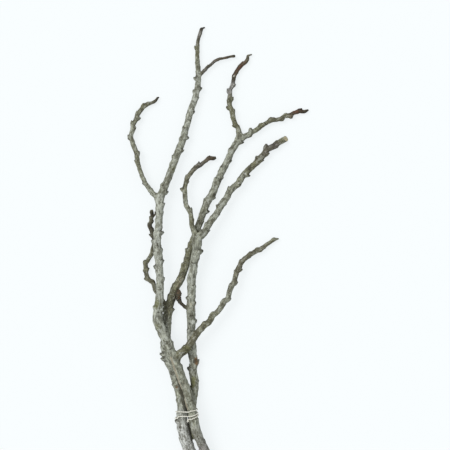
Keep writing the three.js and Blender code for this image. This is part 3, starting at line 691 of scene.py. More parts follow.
    def _raise_ledge(
        self, ledge: Ledge, wander: np.ndarray, size: np.ndarray, swell: np.ndarray, crests: np.ndarray
    ) -> None:
        """Raises one ledge, cuts the fine grooves beside it and darkens what lies behind its step: its leaf
        scars, with painted shade under the step and in the grooves.

        Args:
            ledge: the ledge.
            wander: how far its edge strays along the limb at each place.
            size: size of the limb at each ring beside that of a stem.
            swell: heights into which the grooves are cut.
            crests: heights of the ledges, the highest at each place.
        """
        ahead = self.along[:, None] - ledge.distance + wander
        near = np.abs(ahead[:, 0]) < LEDGE_RAMP + 4.0
        ahead = ahead[near]
        facing = np.maximum(0.0, np.cos(self.around[None, :] - ledge.angle)) ** ledge.sharp
        rise = np.sin(0.5 * math.pi * np.clip(1.0 + ahead / LEDGE_RAMP, 0.0, 1.0)) ** 1.25
        fall = 1.0 - smooth_step(ahead / LEDGE_DROP)
        crests[near] = np.maximum(crests[near], ledge.height * facing * np.where(ahead > 0, fall, rise))
        wide = facing ** 0.5
        # painted shade under the step, with the leaf scars on it; a taller ledge gets a darker one
        foot = bell(ahead, middle=1.7, width=1.25) * facing ** 0.8
        dim = 0.5 * bell(ahead, middle=2.4, width=2.9) * wide
        dark = 0.34 * ledge.height * bell(ahead, middle=0.6, width=2.3) * facing ** 0.7
        scar_and_shade = min(1.0, 0.5 + 0.30 * ledge.height) * np.maximum(foot, dim)
        scar_and_shade = np.maximum(scar_and_shade, np.minimum(0.95, dark))
        for place, depth in self.GROOVES:
            groove = bell(ahead, middle=place, width=0.62) * (0.3 + 0.7 * wide)
            swell[near] -= depth * size[near] * groove * 1.6
            # painted shade in the groove
            scar_and_shade = np.maximum(scar_and_shade, 0.22 * groove)
        self.scar_and_shade[near] = np.maximum(self.scar_and_shade[near], scar_and_shade)

    def _knot(self, knot: Knot) -> np.ndarray:
        """The lip and the sunken middle of a healed knot on the upper side.

        Args:
            knot: the healed knot.

        Returns:
            The height that it adds at each place of the skin.
        """
        distance = self.axis.nearest(knot.x, knot.y)
        ring, out = self._beside(knot.x, knot.y, distance)
        angle = math.acos(max(-0.97, min(0.97, out / self.radius[ring])))
        across = (self.around[None, :] - angle) * self.radius[ring]
        away = np.hypot((self.along[:, None] - distance) / knot.LENGTH, across)
        lip = bell(away, middle=knot.size, width=knot.LIP_WIDTH * knot.size)
        hollow = bell(away, middle=0.0, width=knot.HOLLOW_WIDTH * knot.size)
        # the sunken middle is darkened as painted shade in the hollow
        self.scar_and_shade = np.maximum(self.scar_and_shade, hollow * knot.HOLLOW_DARK)
        return knot.lip * (lip - knot.HOLLOW_DEPTH * hollow)

    def gap_to(self, points: np.ndarray) -> tuple[np.ndarray, np.ndarray]:
        """Distance from places to this skin, less than zero inside it, and the way out of it.

        Args:
            points: places near the run.

        Returns:
            The distance of each place, and the direction away from the middle of the run.
        """
        near = np.linalg.norm(points[:, None] - self.middle[None, ::2], axis=-1)
        ring = np.argmin(near, axis=1) * 2
        offset = points - self.middle[ring]
        level = np.sum(offset * self.side[ring], -1)
        height = np.sum(offset * self.up[ring], -1)
        forward = np.sum(offset * self.tangent[ring], -1)
        turn = np.mod(np.arctan2(height, level), 2 * math.pi)
        place = np.round(turn / (2 * math.pi) * len(self.around)).astype(int) % len(self.around)
        beyond = np.maximum(0.0, np.abs(forward) - 2 * RING_STEP)
        out = unit(self.side[ring] * level[:, None] + self.up[ring] * height[:, None])
        over = np.hypot(level, height) - self.reach[ring, place]
        return np.hypot(np.maximum(over, 0), beyond) + np.minimum(over, 0), out

    def fillet(self, other: "Skin", width: float, root: np.ndarray) -> None:
        """Raises this skin where it comes close to another at a fork, so that the two flow together.

        Args:
            other: the skin that it meets.
            width: width of the fillet in millimetres.
            root: middle of the fork.
        """
        flat = self.points.reshape(-1, 3)
        close = np.where(np.linalg.norm(flat - root, axis=1) < self.FILLET_NEAR * width)[0]
        if len(close) == 0:
            return
        gap, out = other.gap_to(flat[close])
        share = np.clip(1.0 - np.abs(gap) / width, 0.0, 1.0) ** 2
        own = self.outward.reshape(-1, 3)[close]
        way = unit(own + out)
        self.push.reshape(-1, 3)[close] += way * (share * width * self.FILLET_RISE)[:, None]

    def settled(self) -> np.ndarray:
        """The places of the skin with their fillets, kept clear of the surface that the bunch lies on.

        Returns:
            The finished places, ring by ring.
        """
        made = self.points + self.push
        made[..., 2] = np.maximum(made[..., 2], STAND_CLEAR)
        return made


@dataclass
class Patch:
    """Corners and faces of one piece, with what its material needs to know at each corner.

    Args:
        points: places in millimetres.
        faces: corners of each face.
        place: coordinates across and along the limb in millimetres.
        tint: colour of the bark.
        stains: one mask for each kind of mark, painted shade and highlight among them.
        scar_and_shade: how dark the corner is from leaf scars, and from painted shade under a step, in a
            groove and in the hollow of a knot.
        wood: 1 on sawn wood.
        bud: 1 on a bud.
    """

    points: list[np.ndarray] = field(default_factory=list)
    faces: list[list[int]] = field(default_factory=list)
    place: list[np.ndarray] = field(default_factory=list)
    tint: list[np.ndarray] = field(default_factory=list)
    stains: list[np.ndarray] = field(default_factory=list)
    scar_and_shade: list[np.ndarray] = field(default_factory=list)
    wood: list[np.ndarray] = field(default_factory=list)
    bud: list[np.ndarray] = field(default_factory=list)
    count: int = 0

    def add(
        self, points: np.ndarray, place: np.ndarray, tint: np.ndarray, stains: np.ndarray,
        scar_and_shade: np.ndarray, wood: float = 0.0, bud: float = 0.0,
    ) -> int:
        """Adds corners.

        Args:
            points: their places in millimetres.
            place: their coordinates across and along the limb.
            tint: colour of the bark at each.
            stains: masks of the marks at each, painted shade among them.
            scar_and_shade: how dark each is, painted shade included.
            wood: 1 where they are sawn wood.
            bud: 1 where they are a bud.

        Returns:
            The number of the first.
        """
        start = self.count
        size = len(points)
        self.points.append(points)
        self.place.append(place)
        self.tint.append(tint)
        self.stains.append(stains)
        self.scar_and_shade.append(scar_and_shade)
        self.wood.append(np.full(size, wood))
        self.bud.append(np.full(size, bud))
        self.count += size
        return start

    def tube(self, start: int, rings: int, sides: int) -> None:
        """Faces between rings of corners that were added one after the other.

        Args:
            start: number of the first corner.
            rings: how many rings there are.
            sides: how many corners a ring has.
        """
        for ring in range(rings - 1):
            base = start + ring * sides
            for i in range(sides):
                j = (i + 1) % sides
                self.faces.append([base + i, base + j, base + sides + j, base + sides + i])

    def fan(self, ring: int, sides: int, middle: int, forward: bool) -> None:
        """Faces from a ring of corners to one corner in its middle.

        Args:
            ring: number of the ring's first corner.
            sides: how many corners it has.
            middle: number of the corner in its middle.
            forward: whether the faces look towards the tip.
        """
        for i in range(sides):
            j = (i + 1) % sides
            self.faces.append([ring + i, ring + j, middle] if forward else [ring + j, ring + i, middle])

    def mesh(self, name: str, crease: float) -> bpy.types.Object:
        """The finished object.

        Args:
            name: name of the object.
            crease: angle in degrees above which an edge is sharp.

        Returns:
            A new object with the corner values as attributes.
        """
        data = bpy.data.meshes.new(name)
        kept = np.clip(np.vstack(self.points), BOX_LOW, BOX_HIGH)
        data.from_pydata((kept * MM).tolist(), [], self.faces)
        data.validate()
        data.polygons.foreach_set("use_smooth", np.ones(len(data.polygons), dtype=bool))
        data.set_sharp_from_angle(angle=math.radians(crease))
        for key, values, width in (
            ("limb_place", self.place, 3), ("bark_tint", self.tint, 3),
            ("moss", [part[:, Stain.MOSS.value] for part in self.stains], 1),
            ("pale", [part[:, Stain.PALE.value] for part in self.stains], 1),
            ("rust", [part[:, Stain.RUST.value] for part in self.stains], 1),
            ("shade", [part[:, Stain.SHADE.value] for part in self.stains], 1),
            ("tan", [part[:, Stain.TAN.value] for part in self.stains], 1),
            ("scar_and_shade", self.scar_and_shade, 1), ("sawn", self.wood, 1), ("bud", self.bud, 1),
        ):
            kind = "FLOAT_VECTOR" if width == 3 else "FLOAT"
            attribute = data.attributes.new(key, kind, "POINT")
            attribute.data.foreach_set(
                "vector" if width == 3 else "value", np.concatenate(values).astype(np.float32).ravel()
            )
        made = bpy.data.objects.new(name, data)
        bpy.context.scene.collection.objects.link(made)
        return made


class RunBuilder:
    """Makes the pieces of one run from its skin.

    Args:
        skin: the skin, with its fillets.
        marks: stains, painted shade and painted highlights of the branch that the run belongs to.
    """

    PLACE_SHIFT = 173.0  # how far apart the materials of two runs lie in their patterns
    TINT_WANDER = [(9.0, 9.0, 21), (4.0, 3.5, 22)]  # how far a change of tint strays, cell and seed
    MARK_REACH = 1.35  # how many radii from a limb's middle a stain on it may lie
    CREASE = 62.0  # angle in degrees above which an edge is sharp
    CUT_SHARES = (0.93, 0.90, 0.72, 0.50, 0.28)  # the rings of a sawn face, as shares of its rim
    CUT_DEPTH = 0.28  # how far the sawn wood lies inside the rim of the bark
    BUD_RINGS = 7
    BUD_SIDES = 9
    BUD_ENDS = (0.04, 0.97)  # shares of its length at which a bud's first and last ring lie
    BUD_WIDTH = 0.42  # half the width of a bud as a share of its length
    BUD_BULGE = 0.72  # power that puts its fullest ring below its middle
    BUD_BLUNT = 0.75  # power that rounds it off
    BUD_MOST = 2.6  # longest bud for the radius of its limb
    BUD_SUNK = 0.55  # how deep a bud's base sits in the bark
    TIP_BUD_MOST = 3.2
    TIP_BUD_GRAIN = 5.0  # place along the run that gives a tip bud its grain

    def __init__(self, skin: Skin, marks: list[Mark]) -> None:
        """Works out the colours and stains of the skin."""
        self.skin = skin
        self.points = skin.settled()
        shape = self.points.shape[:2]
        turn = np.cos(skin.around)[None, :] * skin.reach
        tilt = np.sin(skin.around)[None, :] * skin.reach
        along = np.broadcast_to(skin.along[:, None], shape) + self.PLACE_SHIFT * skin.run.seed
        self.place = np.stack([turn, tilt, along], -1)
        self.tint = self._tints()
        self.stains = self._stains(marks)

    def _tints(self) -> np.ndarray:
        """The colour of the bark along the run, with ragged changes from one to the next.

        Returns:
            A colour at every place of the skin.
        """
        skin = self.skin
        distances = []
        colours = []
        for limb, first, last in zip(skin.run.limbs, skin.breaks[:-1], skin.breaks[1:]):
            start, end = skin.along[first], skin.along[last]
            for share, tint in limb.tints:
                distances.append(start + share * (end - start))
                colours.append(tint.value)
        wander = mixed_noise(self.place, self.TINT_WANDER)
        where = skin.along[:, None] + wander * np.clip(skin.radius[:, None] / 5.0, 0.3, 1.0)
        table = np.array(colours)
        return np.stack([np.interp(where, distances, table[:, i]) for i in range(3)], -1)

    def _stains(self, marks: list[Mark]) -> np.ndarray:
        """The masks of the stains, of the painted shade and of the painted highlights.

        Args:
            marks: stains, painted shade and painted highlights of the branch.

        Returns:
            One mask for each kind of stain, at every place of the skin.
        """
        made = np.zeros((*self.points.shape[:2], len(Stain)))
        faces_up = smooth_step(0.6 + np.sin(self.skin.around))[None, :]
        for mark in marks:
            miss = mark.away(self.skin.middle)
            if np.min(miss - self.skin.radius * self.MARK_REACH) > 0.0:
                continue
            mask = mark.strength * np.exp(-(mark.away(self.points) / mark.size) ** 2) * faces_up
            kind = mark.stain.value
            made[..., kind] = np.maximum(made[..., kind], mask)
        return made

    def _rings(self, patch: Patch, first: int, last: int) -> int:
        """Adds rings of the skin with their faces.

        Args:
            patch: the piece that they join.
            first: the first ring.
            last: the last ring.

        Returns:
            The number of the first corner.
        """
        rows = slice(first, last + 1)
        sides = len(self.skin.around)
        start = patch.add(
            self.points[rows].reshape(-1, 3), self.place[rows].reshape(-1, 3),
            self.tint[rows].reshape(-1, 3), self.stains[rows].reshape(-1, len(Stain)),
            self.skin.scar_and_shade[rows].ravel(),
        )
        patch.tube(start, last - first + 1, sides)
        return start

    def _end(self, patch: Patch, ring: int, rim: int, forward: bool, sawn: bool) -> None:
        """Closes one end of a piece, with a sawn face where the real limb was cut.

        Args:
            patch: the piece.
            ring: the last ring of the skin at that end.
            rim: number of that ring's first corner.
            forward: whether it is the end at the tip.
            sawn: whether it is a sawn face.
        """
        skin = self.skin
        sides = len(skin.around)
        middle = self.points[ring].mean(axis=0)
        along = skin.tangent[ring] * (1.0 if forward else -1.0)
        for step, share in enumerate(self.CUT_SHARES if sawn else ()):
            inside = step > 0
            points = middle + (self.points[ring] - middle) * share - along * (self.CUT_DEPTH * inside)
            place = self.place[ring].copy()
            place[:, :2] *= share
            added = patch.add(
                points, place, self.tint[ring], self.stains[ring] * 0.0, np.zeros(sides), float(inside)
            )
            for i in range(sides):
                j = (i + 1) % sides
                face = [rim + i, rim + j, added + j, added + i]
                patch.faces.append(face if forward else face[::-1])
            rim = added
        centre = self.place[ring].mean(axis=0)[None]
        tip = middle - along * (self.CUT_DEPTH * sawn)
        last = patch.add(
            tip[None], centre, self.tint[ring][:1], self.stains[ring][:1] * 0.0, np.zeros(1), float(sawn)
        )
        patch.fan(rim, sides, last, forward)

    def _bud(
        self, patch: Patch, root: np.ndarray, way: np.ndarray, out: np.ndarray, length: float,
        tint: np.ndarray, stain: np.ndarray, along: float,
    ) -> None:
        """Adds a small pointed bud.

        Args:
            patch: the piece that it joins.
            root: middle of its base.
            way: direction in which it points.
            out: direction away from the bark.
            length: its length in millimetres.
            tint: colour of the bark round it.
            stain: masks of the marks of the bark round it, painted shade among them.
            along: place along the run, which sets its grain.
        """
        width = self.BUD_WIDTH * length
        across = unit(np.cross(way, out))
        lift = np.cross(across, way)
        share = np.linspace(*self.BUD_ENDS, self.BUD_RINGS)
        fullness = np.sin(math.pi * share ** self.BUD_BULGE) ** self.BUD_BLUNT
        turn = np.arange(self.BUD_SIDES) * (2 * math.pi / self.BUD_SIDES)
        rings = [
            root + way * length * part
            + width * full * (across * np.cos(turn)[:, None] + lift * np.sin(turn)[:, None])
            for part, full in zip(share, fullness)
        ]
        points = np.vstack(rings)
        points[:, 2] = np.maximum(points[:, 2], STAND_CLEAR)
        place = points - root + np.array([0.0, 0.0, along])
        size = len(points)
        start = patch.add(
            points, place, np.tile(tint, (size, 1)), np.tile(stain, (size, 1)), np.zeros(size), bud=1.0
        )
        patch.tube(start, self.BUD_RINGS, self.BUD_SIDES)
        for ring, end, forward in ((0, 0.0, False), (self.BUD_RINGS - 1, 1.0, True)):
            point = (root + way * length * end)[None]
            middle = patch.add(point, place[:1], tint[None], stain[None], np.zeros(1), bud=1.0)
            patch.fan(start + ring * self.BUD_SIDES, self.BUD_SIDES, middle, forward)

    def _buds(self, patch: Patch, first: int, last: int) -> int:
        """Adds the buds of the ledges between two rings.

        Args:
            patch: the piece that they join.
            first: the first ring of the piece.
            last: its last ring.

        Returns:
            How many buds there are.
        """
        skin = self.skin
        made = 0
        for ledge in skin.ledges:
            ring = int(np.argmin(np.abs(skin.along - ledge.distance - 0.7)))
            if not first <= ring < last - 2 or ledge.bud > self.BUD_MOST * skin.radius[ring]:
                continue
            side = int(round(ledge.angle / (2 * math.pi) * len(skin.around))) % len(skin.around)
            out = skin.outward[ring, side]
            way = unit(skin.tangent[ring] * 0.95 + out * 0.12)
            root = self.points[ring, side] - out * self.BUD_SUNK - skin.tangent[ring] * 0.5
            tint = self.tint[ring, side]
            stain = self.stains[ring, side]
            self._bud(patch, root, way, out, ledge.bud, tint, stain, float(skin.along[ring]))
            made += 1
        return made

    def pieces(self) -> list[tuple[Limb, bpy.types.Object]]:
        """Builds one object for each limb of the run.

        Returns:
            Each limb with its object.
        """
        skin = self.skin
        run = skin.run
        sides = len(skin.around)
        made = []
        for i, limb in enumerate(run.limbs):
            first, last = skin.breaks[i], skin.breaks[i + 1]
            patch = Patch()
            start = self._rings(patch, first, last)
            self._end(patch, first, start, False, run.cut_base and i == 0)
            at_tip = i == len(run.limbs) - 1
            self._end(patch, last, start + (last - first) * sides, True, run.cut_tip and at_tip)
            buds = self._buds(patch, first, last)
            if at_tip and not run.cut_tip:
                ring = last - 2
                root = skin.middle[ring] - skin.tangent[ring] * 1.6
                length = min(3.0 * skin.radius[ring] + 1.2, self.TIP_BUD_MOST)
                self._bud(
                    patch, root, skin.tangent[ring], skin.up[ring], length, self.tint[last, 0],
                    self.stains[last, 0], self.TIP_BUD_GRAIN,
                )
            piece = patch.mesh(limb.node + "_" + limb.label, self.CREASE)
            log.info("%s: %d corners, %d buds", piece.name, len(piece.data.vertices), buds)
            made.append((limb, piece))
        return made


class Graph:
    """A node tree that is being built.

    Args:
        tree: the tree of a material, a group or the world.
    """

    # Inputs and output of the colour mix, which share their names with those for numbers
    MIX_SHARE = 0
    MIX_FIRST = 6
    MIX_SECOND = 7
    MIX_COLOUR = 2

    def __init__(self, tree: bpy.types.NodeTree) -> None:
        """Keeps the tree."""
        self.tree = tree

    def node(self, kind: str, **settings: object) -> bpy.types.Node:
        """Adds a node.

        Args:
            kind: Blender's name for the kind of node.
            **settings: its settings.

        Returns:
            The new node.
        """
        made = self.tree.nodes.new(kind)
        for key, value in settings.items():
            setattr(made, key, value)
        return made

    def feed(self, target: Socket, value: object) -> None:
        """Joins a socket to another, or gives it a value of its own.

        Args:
            target: the socket that is fed.
            value: another socket, or a value.
        """
        if isinstance(value, Socket):
            self.tree.links.new(value, target)
        else:
            target.default_value = value

    def fill(self, made: bpy.types.Node, **values: object) -> bpy.types.Node:
        """Feeds inputs of a node by their names.

        Args:
            made: the node.
            **values: sockets or values, with underscores for the spaces of the names.

        Returns:
            The same node.
        """
        for key, value in values.items():
            self.feed(made.inputs[key.replace("_", " ")], value)
        return made

    def math(self, operation: str, *values: object) -> Socket:
        """A sum on sockets or numbers.

        Args:
            operation: Blender's name for the sum.
            *values: what goes into it.

        Returns:
            Its result.
        """
        made = self.node("ShaderNodeMath", operation=operation)
        for target, value in zip(made.inputs, values):
            self.feed(target, value)
        return made.outputs["Value"]

    def mix(self, share: object, first: object, second: object, blend: str = "MIX") -> Socket:
        """One colour mixed with another.

        Args:
            share: how much of the second colour shows.
            first: the first colour.
            second: the second colour.
            blend: Blender's name for the way of mixing.

        Returns:
            The mixed colour.
        """
        made = self.node("ShaderNodeMix", data_type="RGBA", blend_type=blend)
        self.feed(made.inputs[self.MIX_SHARE], share)
        self.feed(made.inputs[self.MIX_FIRST], first)
        self.feed(made.inputs[self.MIX_SECOND], second)
        return made.outputs[self.MIX_COLOUR]

    def swing(self, value: object, strength: object) -> Socket:
        """A value from 0 to 1 made to swing about 0."""
        return self.math("MULTIPLY", self.math("SUBTRACT", value, 0.5), strength)

    def stretch(self, vector: object, scale: tuple[float, float, float]) -> Socket:
        """A place scaled along each direction.

        Args:
            vector: the place.
            scale: the scale along each direction.

        Returns:
            The scaled place.
        """
        made = self.node("ShaderNodeVectorMath", operation="MULTIPLY")
        self.feed(made.inputs[0], vector)
        self.feed(made.inputs[1], scale)
        return made.outputs["Vector"]

    def noise(self, vector: object, scale: object, detail: float, rough: float) -> Socket:
        """Cloudy noise from 0 to 1."""
        made = self.node("ShaderNodeTexNoise")
        return self.fill(made, Vector=vector, Scale=scale, Detail=detail, Roughness=rough).outputs["Fac"]

    def window(self, value: object, low: float, high: float) -> Socket:
        """A value eased from 0 at the low end to 1 at the high end."""
        made = self.node("ShaderNodeMapRange", interpolation_type="SMOOTHSTEP")
        return self.fill(made, Value=value, From_Min=low, From_Max=high).outputs["Result"]

    def bump(self, height: object, strength: float, distance: float) -> Socket:
        """The direction that the surface seems to face where a height changes."""
        made = self.node("ShaderNodeBump")
        return self.fill(made, Strength=strength, Distance=distance, Height=height).outputs["Normal"]

    def attribute(self, name: str, output: str = "Fac") -> Socket:
        """What the skin says at each corner."""
        return self.node("ShaderNodeAttribute", attribute_name=name).outputs[output]

    def group(self, tree: bpy.types.NodeTree, **values: object) -> bpy.types.Node:
        """A shared group with its inputs fed."""
        return self.fill(self.node("ShaderNodeGroup", node_tree=tree), **values)


class SharedGroups:
    """Shader node groups that the materials share, each built once."""

    # Scales of the patterns across and along a limb, in cells for each millimetre
    STREAK = (0.62, 0.62, 0.085)
    BLOTCH = (0.26, 0.26, 0.13)
    WRINKLE = (0.16, 0.16, 1.25)
    FINE = 1.15
    FILM = (0.30, 0.30, 0.13)
    PATCH = (0.26, 0.26, 0.12)
    PORE = (0.42, 0.42, 0.62)
    SPECK = (0.60, 0.60, 0.45)
    FIBRE = (7.0, 7.0, 0.9)
    FIBRE_WIDE = 0.25

    PORE_REACH = 0.30  # radius of a pore as a share of its cell
    SPECK_REACH = 0.34
    RAGGED = 2.6  # how ragged the edge of a mask is
    WOOD_DARK = (0.36, 0.30, 0.17, 1.0)
    WOOD_PALE = (0.66, 0.60, 0.42, 1.0)
    PITH = (0.16, 0.11, 0.06, 1.0)
    RING_RATE = 5.2  # radians of a growth ring's wave in each millimetre

    def __init__(self) -> None:
        """Builds every group."""
        self.grain = self._grain()
        self.spots = self._spots()
        self.patchy = self._patchy()
        self.sawn = self._sawn()
        self.fibres = self._fibres()

    def _start(
        self, name: str, inputs: dict[str, str], outputs: dict[str, str]
    ) -> tuple[Graph, bpy.types.Node, bpy.types.Node]:
        """A new group with named inputs and outputs.

        Args:
            name: name of the group.
            inputs: the kind of each input.
            outputs: the kind of each output.

        Returns:
            The group's graph, its input node and its output node.
        """
        tree = bpy.data.node_groups.new(name, "ShaderNodeTree")
        for key, kind in inputs.items():
            tree.interface.new_socket(name=key, in_out="INPUT", socket_type="NodeSocket" + kind)
        for key, kind in outputs.items():
            tree.interface.new_socket(name=key, in_out="OUTPUT", socket_type="NodeSocket" + kind)
        graph = Graph(tree)
        return graph, graph.node("NodeGroupInput"), graph.node("NodeGroupOutput")

    def _grain(self) -> bpy.types.NodeTree:
        """Streaks along the limb, blotches and wrinkles across it.

        Returns:
            The group "bark_grain".
        """
        graph, given, made = self._start(
            "bark_grain",
            {"Place": "Vector", "Streak": "Float", "Blotch": "Float"},
            {"Tone": "Float", "Film": "Float", "Patch": "Float", "Height": "Float"},
        )
        place = given.outputs["Place"]
        streak = graph.noise(graph.stretch(place, self.STREAK), 1.0, 6.0, 0.62)
        blotch = graph.noise(graph.stretch(place, self.BLOTCH), 1.0, 5.0, 0.7)
        fine = graph.noise(place, self.FINE, 4.0, 0.62)
        across = graph.noise(graph.stretch(place, self.WRINKLE), 1.0, 4.0, 0.6)
        streaks = graph.swing(streak, given.outputs["Streak"])
        blotches = graph.swing(blotch, given.outputs["Blotch"])
        specks = graph.swing(fine, 1.2)
        broad = graph.math("ADD", streaks, blotches)
        pattern = graph.math("ADD", broad, graph.math("ADD", specks, graph.swing(across, 0.9)))
        worn = graph.noise(graph.stretch(place, self.FILM), 1.0, 3.0, 0.7)
        film = graph.math("ADD", worn, graph.math("MULTIPLY", specks, 0.25))
        patch = graph.noise(graph.stretch(place, self.PATCH), 1.0, 4.0, 0.58)
        rough = graph.math("ADD", graph.math("MULTIPLY", streak, 0.7), graph.math("MULTIPLY", across, 0.6))
        graph.fill(
            made, Tone=graph.math("ADD", pattern, 0.5), Film=graph.window(film, 0.50, 0.66),
            Patch=graph.window(patch, 0.51, 0.58),
            Height=graph.math("ADD", rough, graph.math("MULTIPLY", fine, 0.5)),
        )
        return graph.tree

    def _spots(self) -> bpy.types.NodeTree:
        """Small pale pores and small dark specks.

        Returns:
            The group "bark_spots".
        """
        graph, given, made = self._start(
            "bark_spots", {"Place": "Vector", "Amount": "Float"}, {"Pale": "Float", "Dark": "Float"}
        )
        place = given.outputs["Place"]
        for output, scale, reach in (
            ("Pale", self.PORE, self.PORE_REACH), ("Dark", self.SPECK, self.SPECK_REACH),
        ):
            cells = graph.node("ShaderNodeTexVoronoi")
            graph.fill(cells, Vector=graph.stretch(place, scale), Scale=1.0)
            dot = graph.math("SUBTRACT", 1.0, graph.window(cells.outputs["Distance"], reach * 0.45, reach))
            shown = graph.fill(graph.node("ShaderNodeSeparateColor"), Color=cells.outputs["Color"])
            chosen = graph.math("LESS_THAN", shown.outputs["Red"], given.outputs["Amount"])
            graph.feed(made.inputs[output], graph.math("MULTIPLY", dot, chosen))
        return graph.tree

    def _patchy(self) -> bpy.types.NodeTree:
        """A mask with a ragged edge.

        Returns:
            The group "patchy_edge".
        """
        graph, given, made = self._start(
            "patchy_edge", {"Mask": "Float", "Place": "Vector", "Fineness": "Float"}, {"Mask": "Float"}
        )
        noise = graph.noise(given.outputs["Place"], given.outputs["Fineness"], 4.0, 0.5)
        worn = graph.swing(noise, self.RAGGED)
        whole = graph.window(graph.math("ADD", given.outputs["Mask"], worn), 0.35, 0.95)
        present = graph.window(given.outputs["Mask"], 0.02, 0.2)
        graph.feed(made.inputs["Mask"], graph.math("MULTIPLY", whole, present))
        return graph.tree

    def _sawn(self) -> bpy.types.NodeTree:
        """Growth rings and fine cracks on sawn wood.

        Returns:
            The group "sawn_wood".
        """
        graph, given, made = self._start(
            "sawn_wood", {"Place": "Vector"}, {"Colour": "Color", "Height": "Float"}
        )
        flat = graph.stretch(given.outputs["Place"], (1.0, 1.0, 0.0))
        length = graph.node("ShaderNodeVectorMath", operation="LENGTH")
        graph.feed(length.inputs[0], flat)
        bent = graph.math("ADD", length.outputs["Value"], graph.noise(flat, 0.5, 2.0, 0.5))
        ring = graph.math("SINE", graph.math("MULTIPLY", bent, self.RING_RATE))
        fine = graph.noise(flat, 2.6, 4.0, 0.6)
        share = graph.math("ADD", graph.math("MULTIPLY", ring, 0.22), fine)
        wood = graph.mix(share, self.WOOD_DARK, self.WOOD_PALE)
        pith = graph.math("SUBTRACT", 1.0, graph.window(length.outputs["Value"], 0.35, 0.8))
        graph.fill(made, Colour=graph.mix(pith, wood, self.PITH), Height=share)
        return graph.tree

    def _fibres(self) -> bpy.types.NodeTree:
        """Fine fibres along a strand.

        Returns:
            The group "strand_fibres".
        """
        graph, given, made = self._start(
            "strand_fibres", {"Place": "Vector"}, {"Tone": "Float", "Height": "Float"}
        )
        fine = graph.noise(graph.stretch(given.outputs["Place"], self.FIBRE), 1.0, 3.0, 0.6)
        wide = graph.noise(given.outputs["Place"], self.FIBRE_WIDE, 2.0, 0.5)
        tone = graph.math("ADD", graph.math("MULTIPLY", fine, 0.7), graph.math("MULTIPLY", wide, 0.3))
        graph.fill(made, Tone=tone, Height=fine)
        return graph.tree


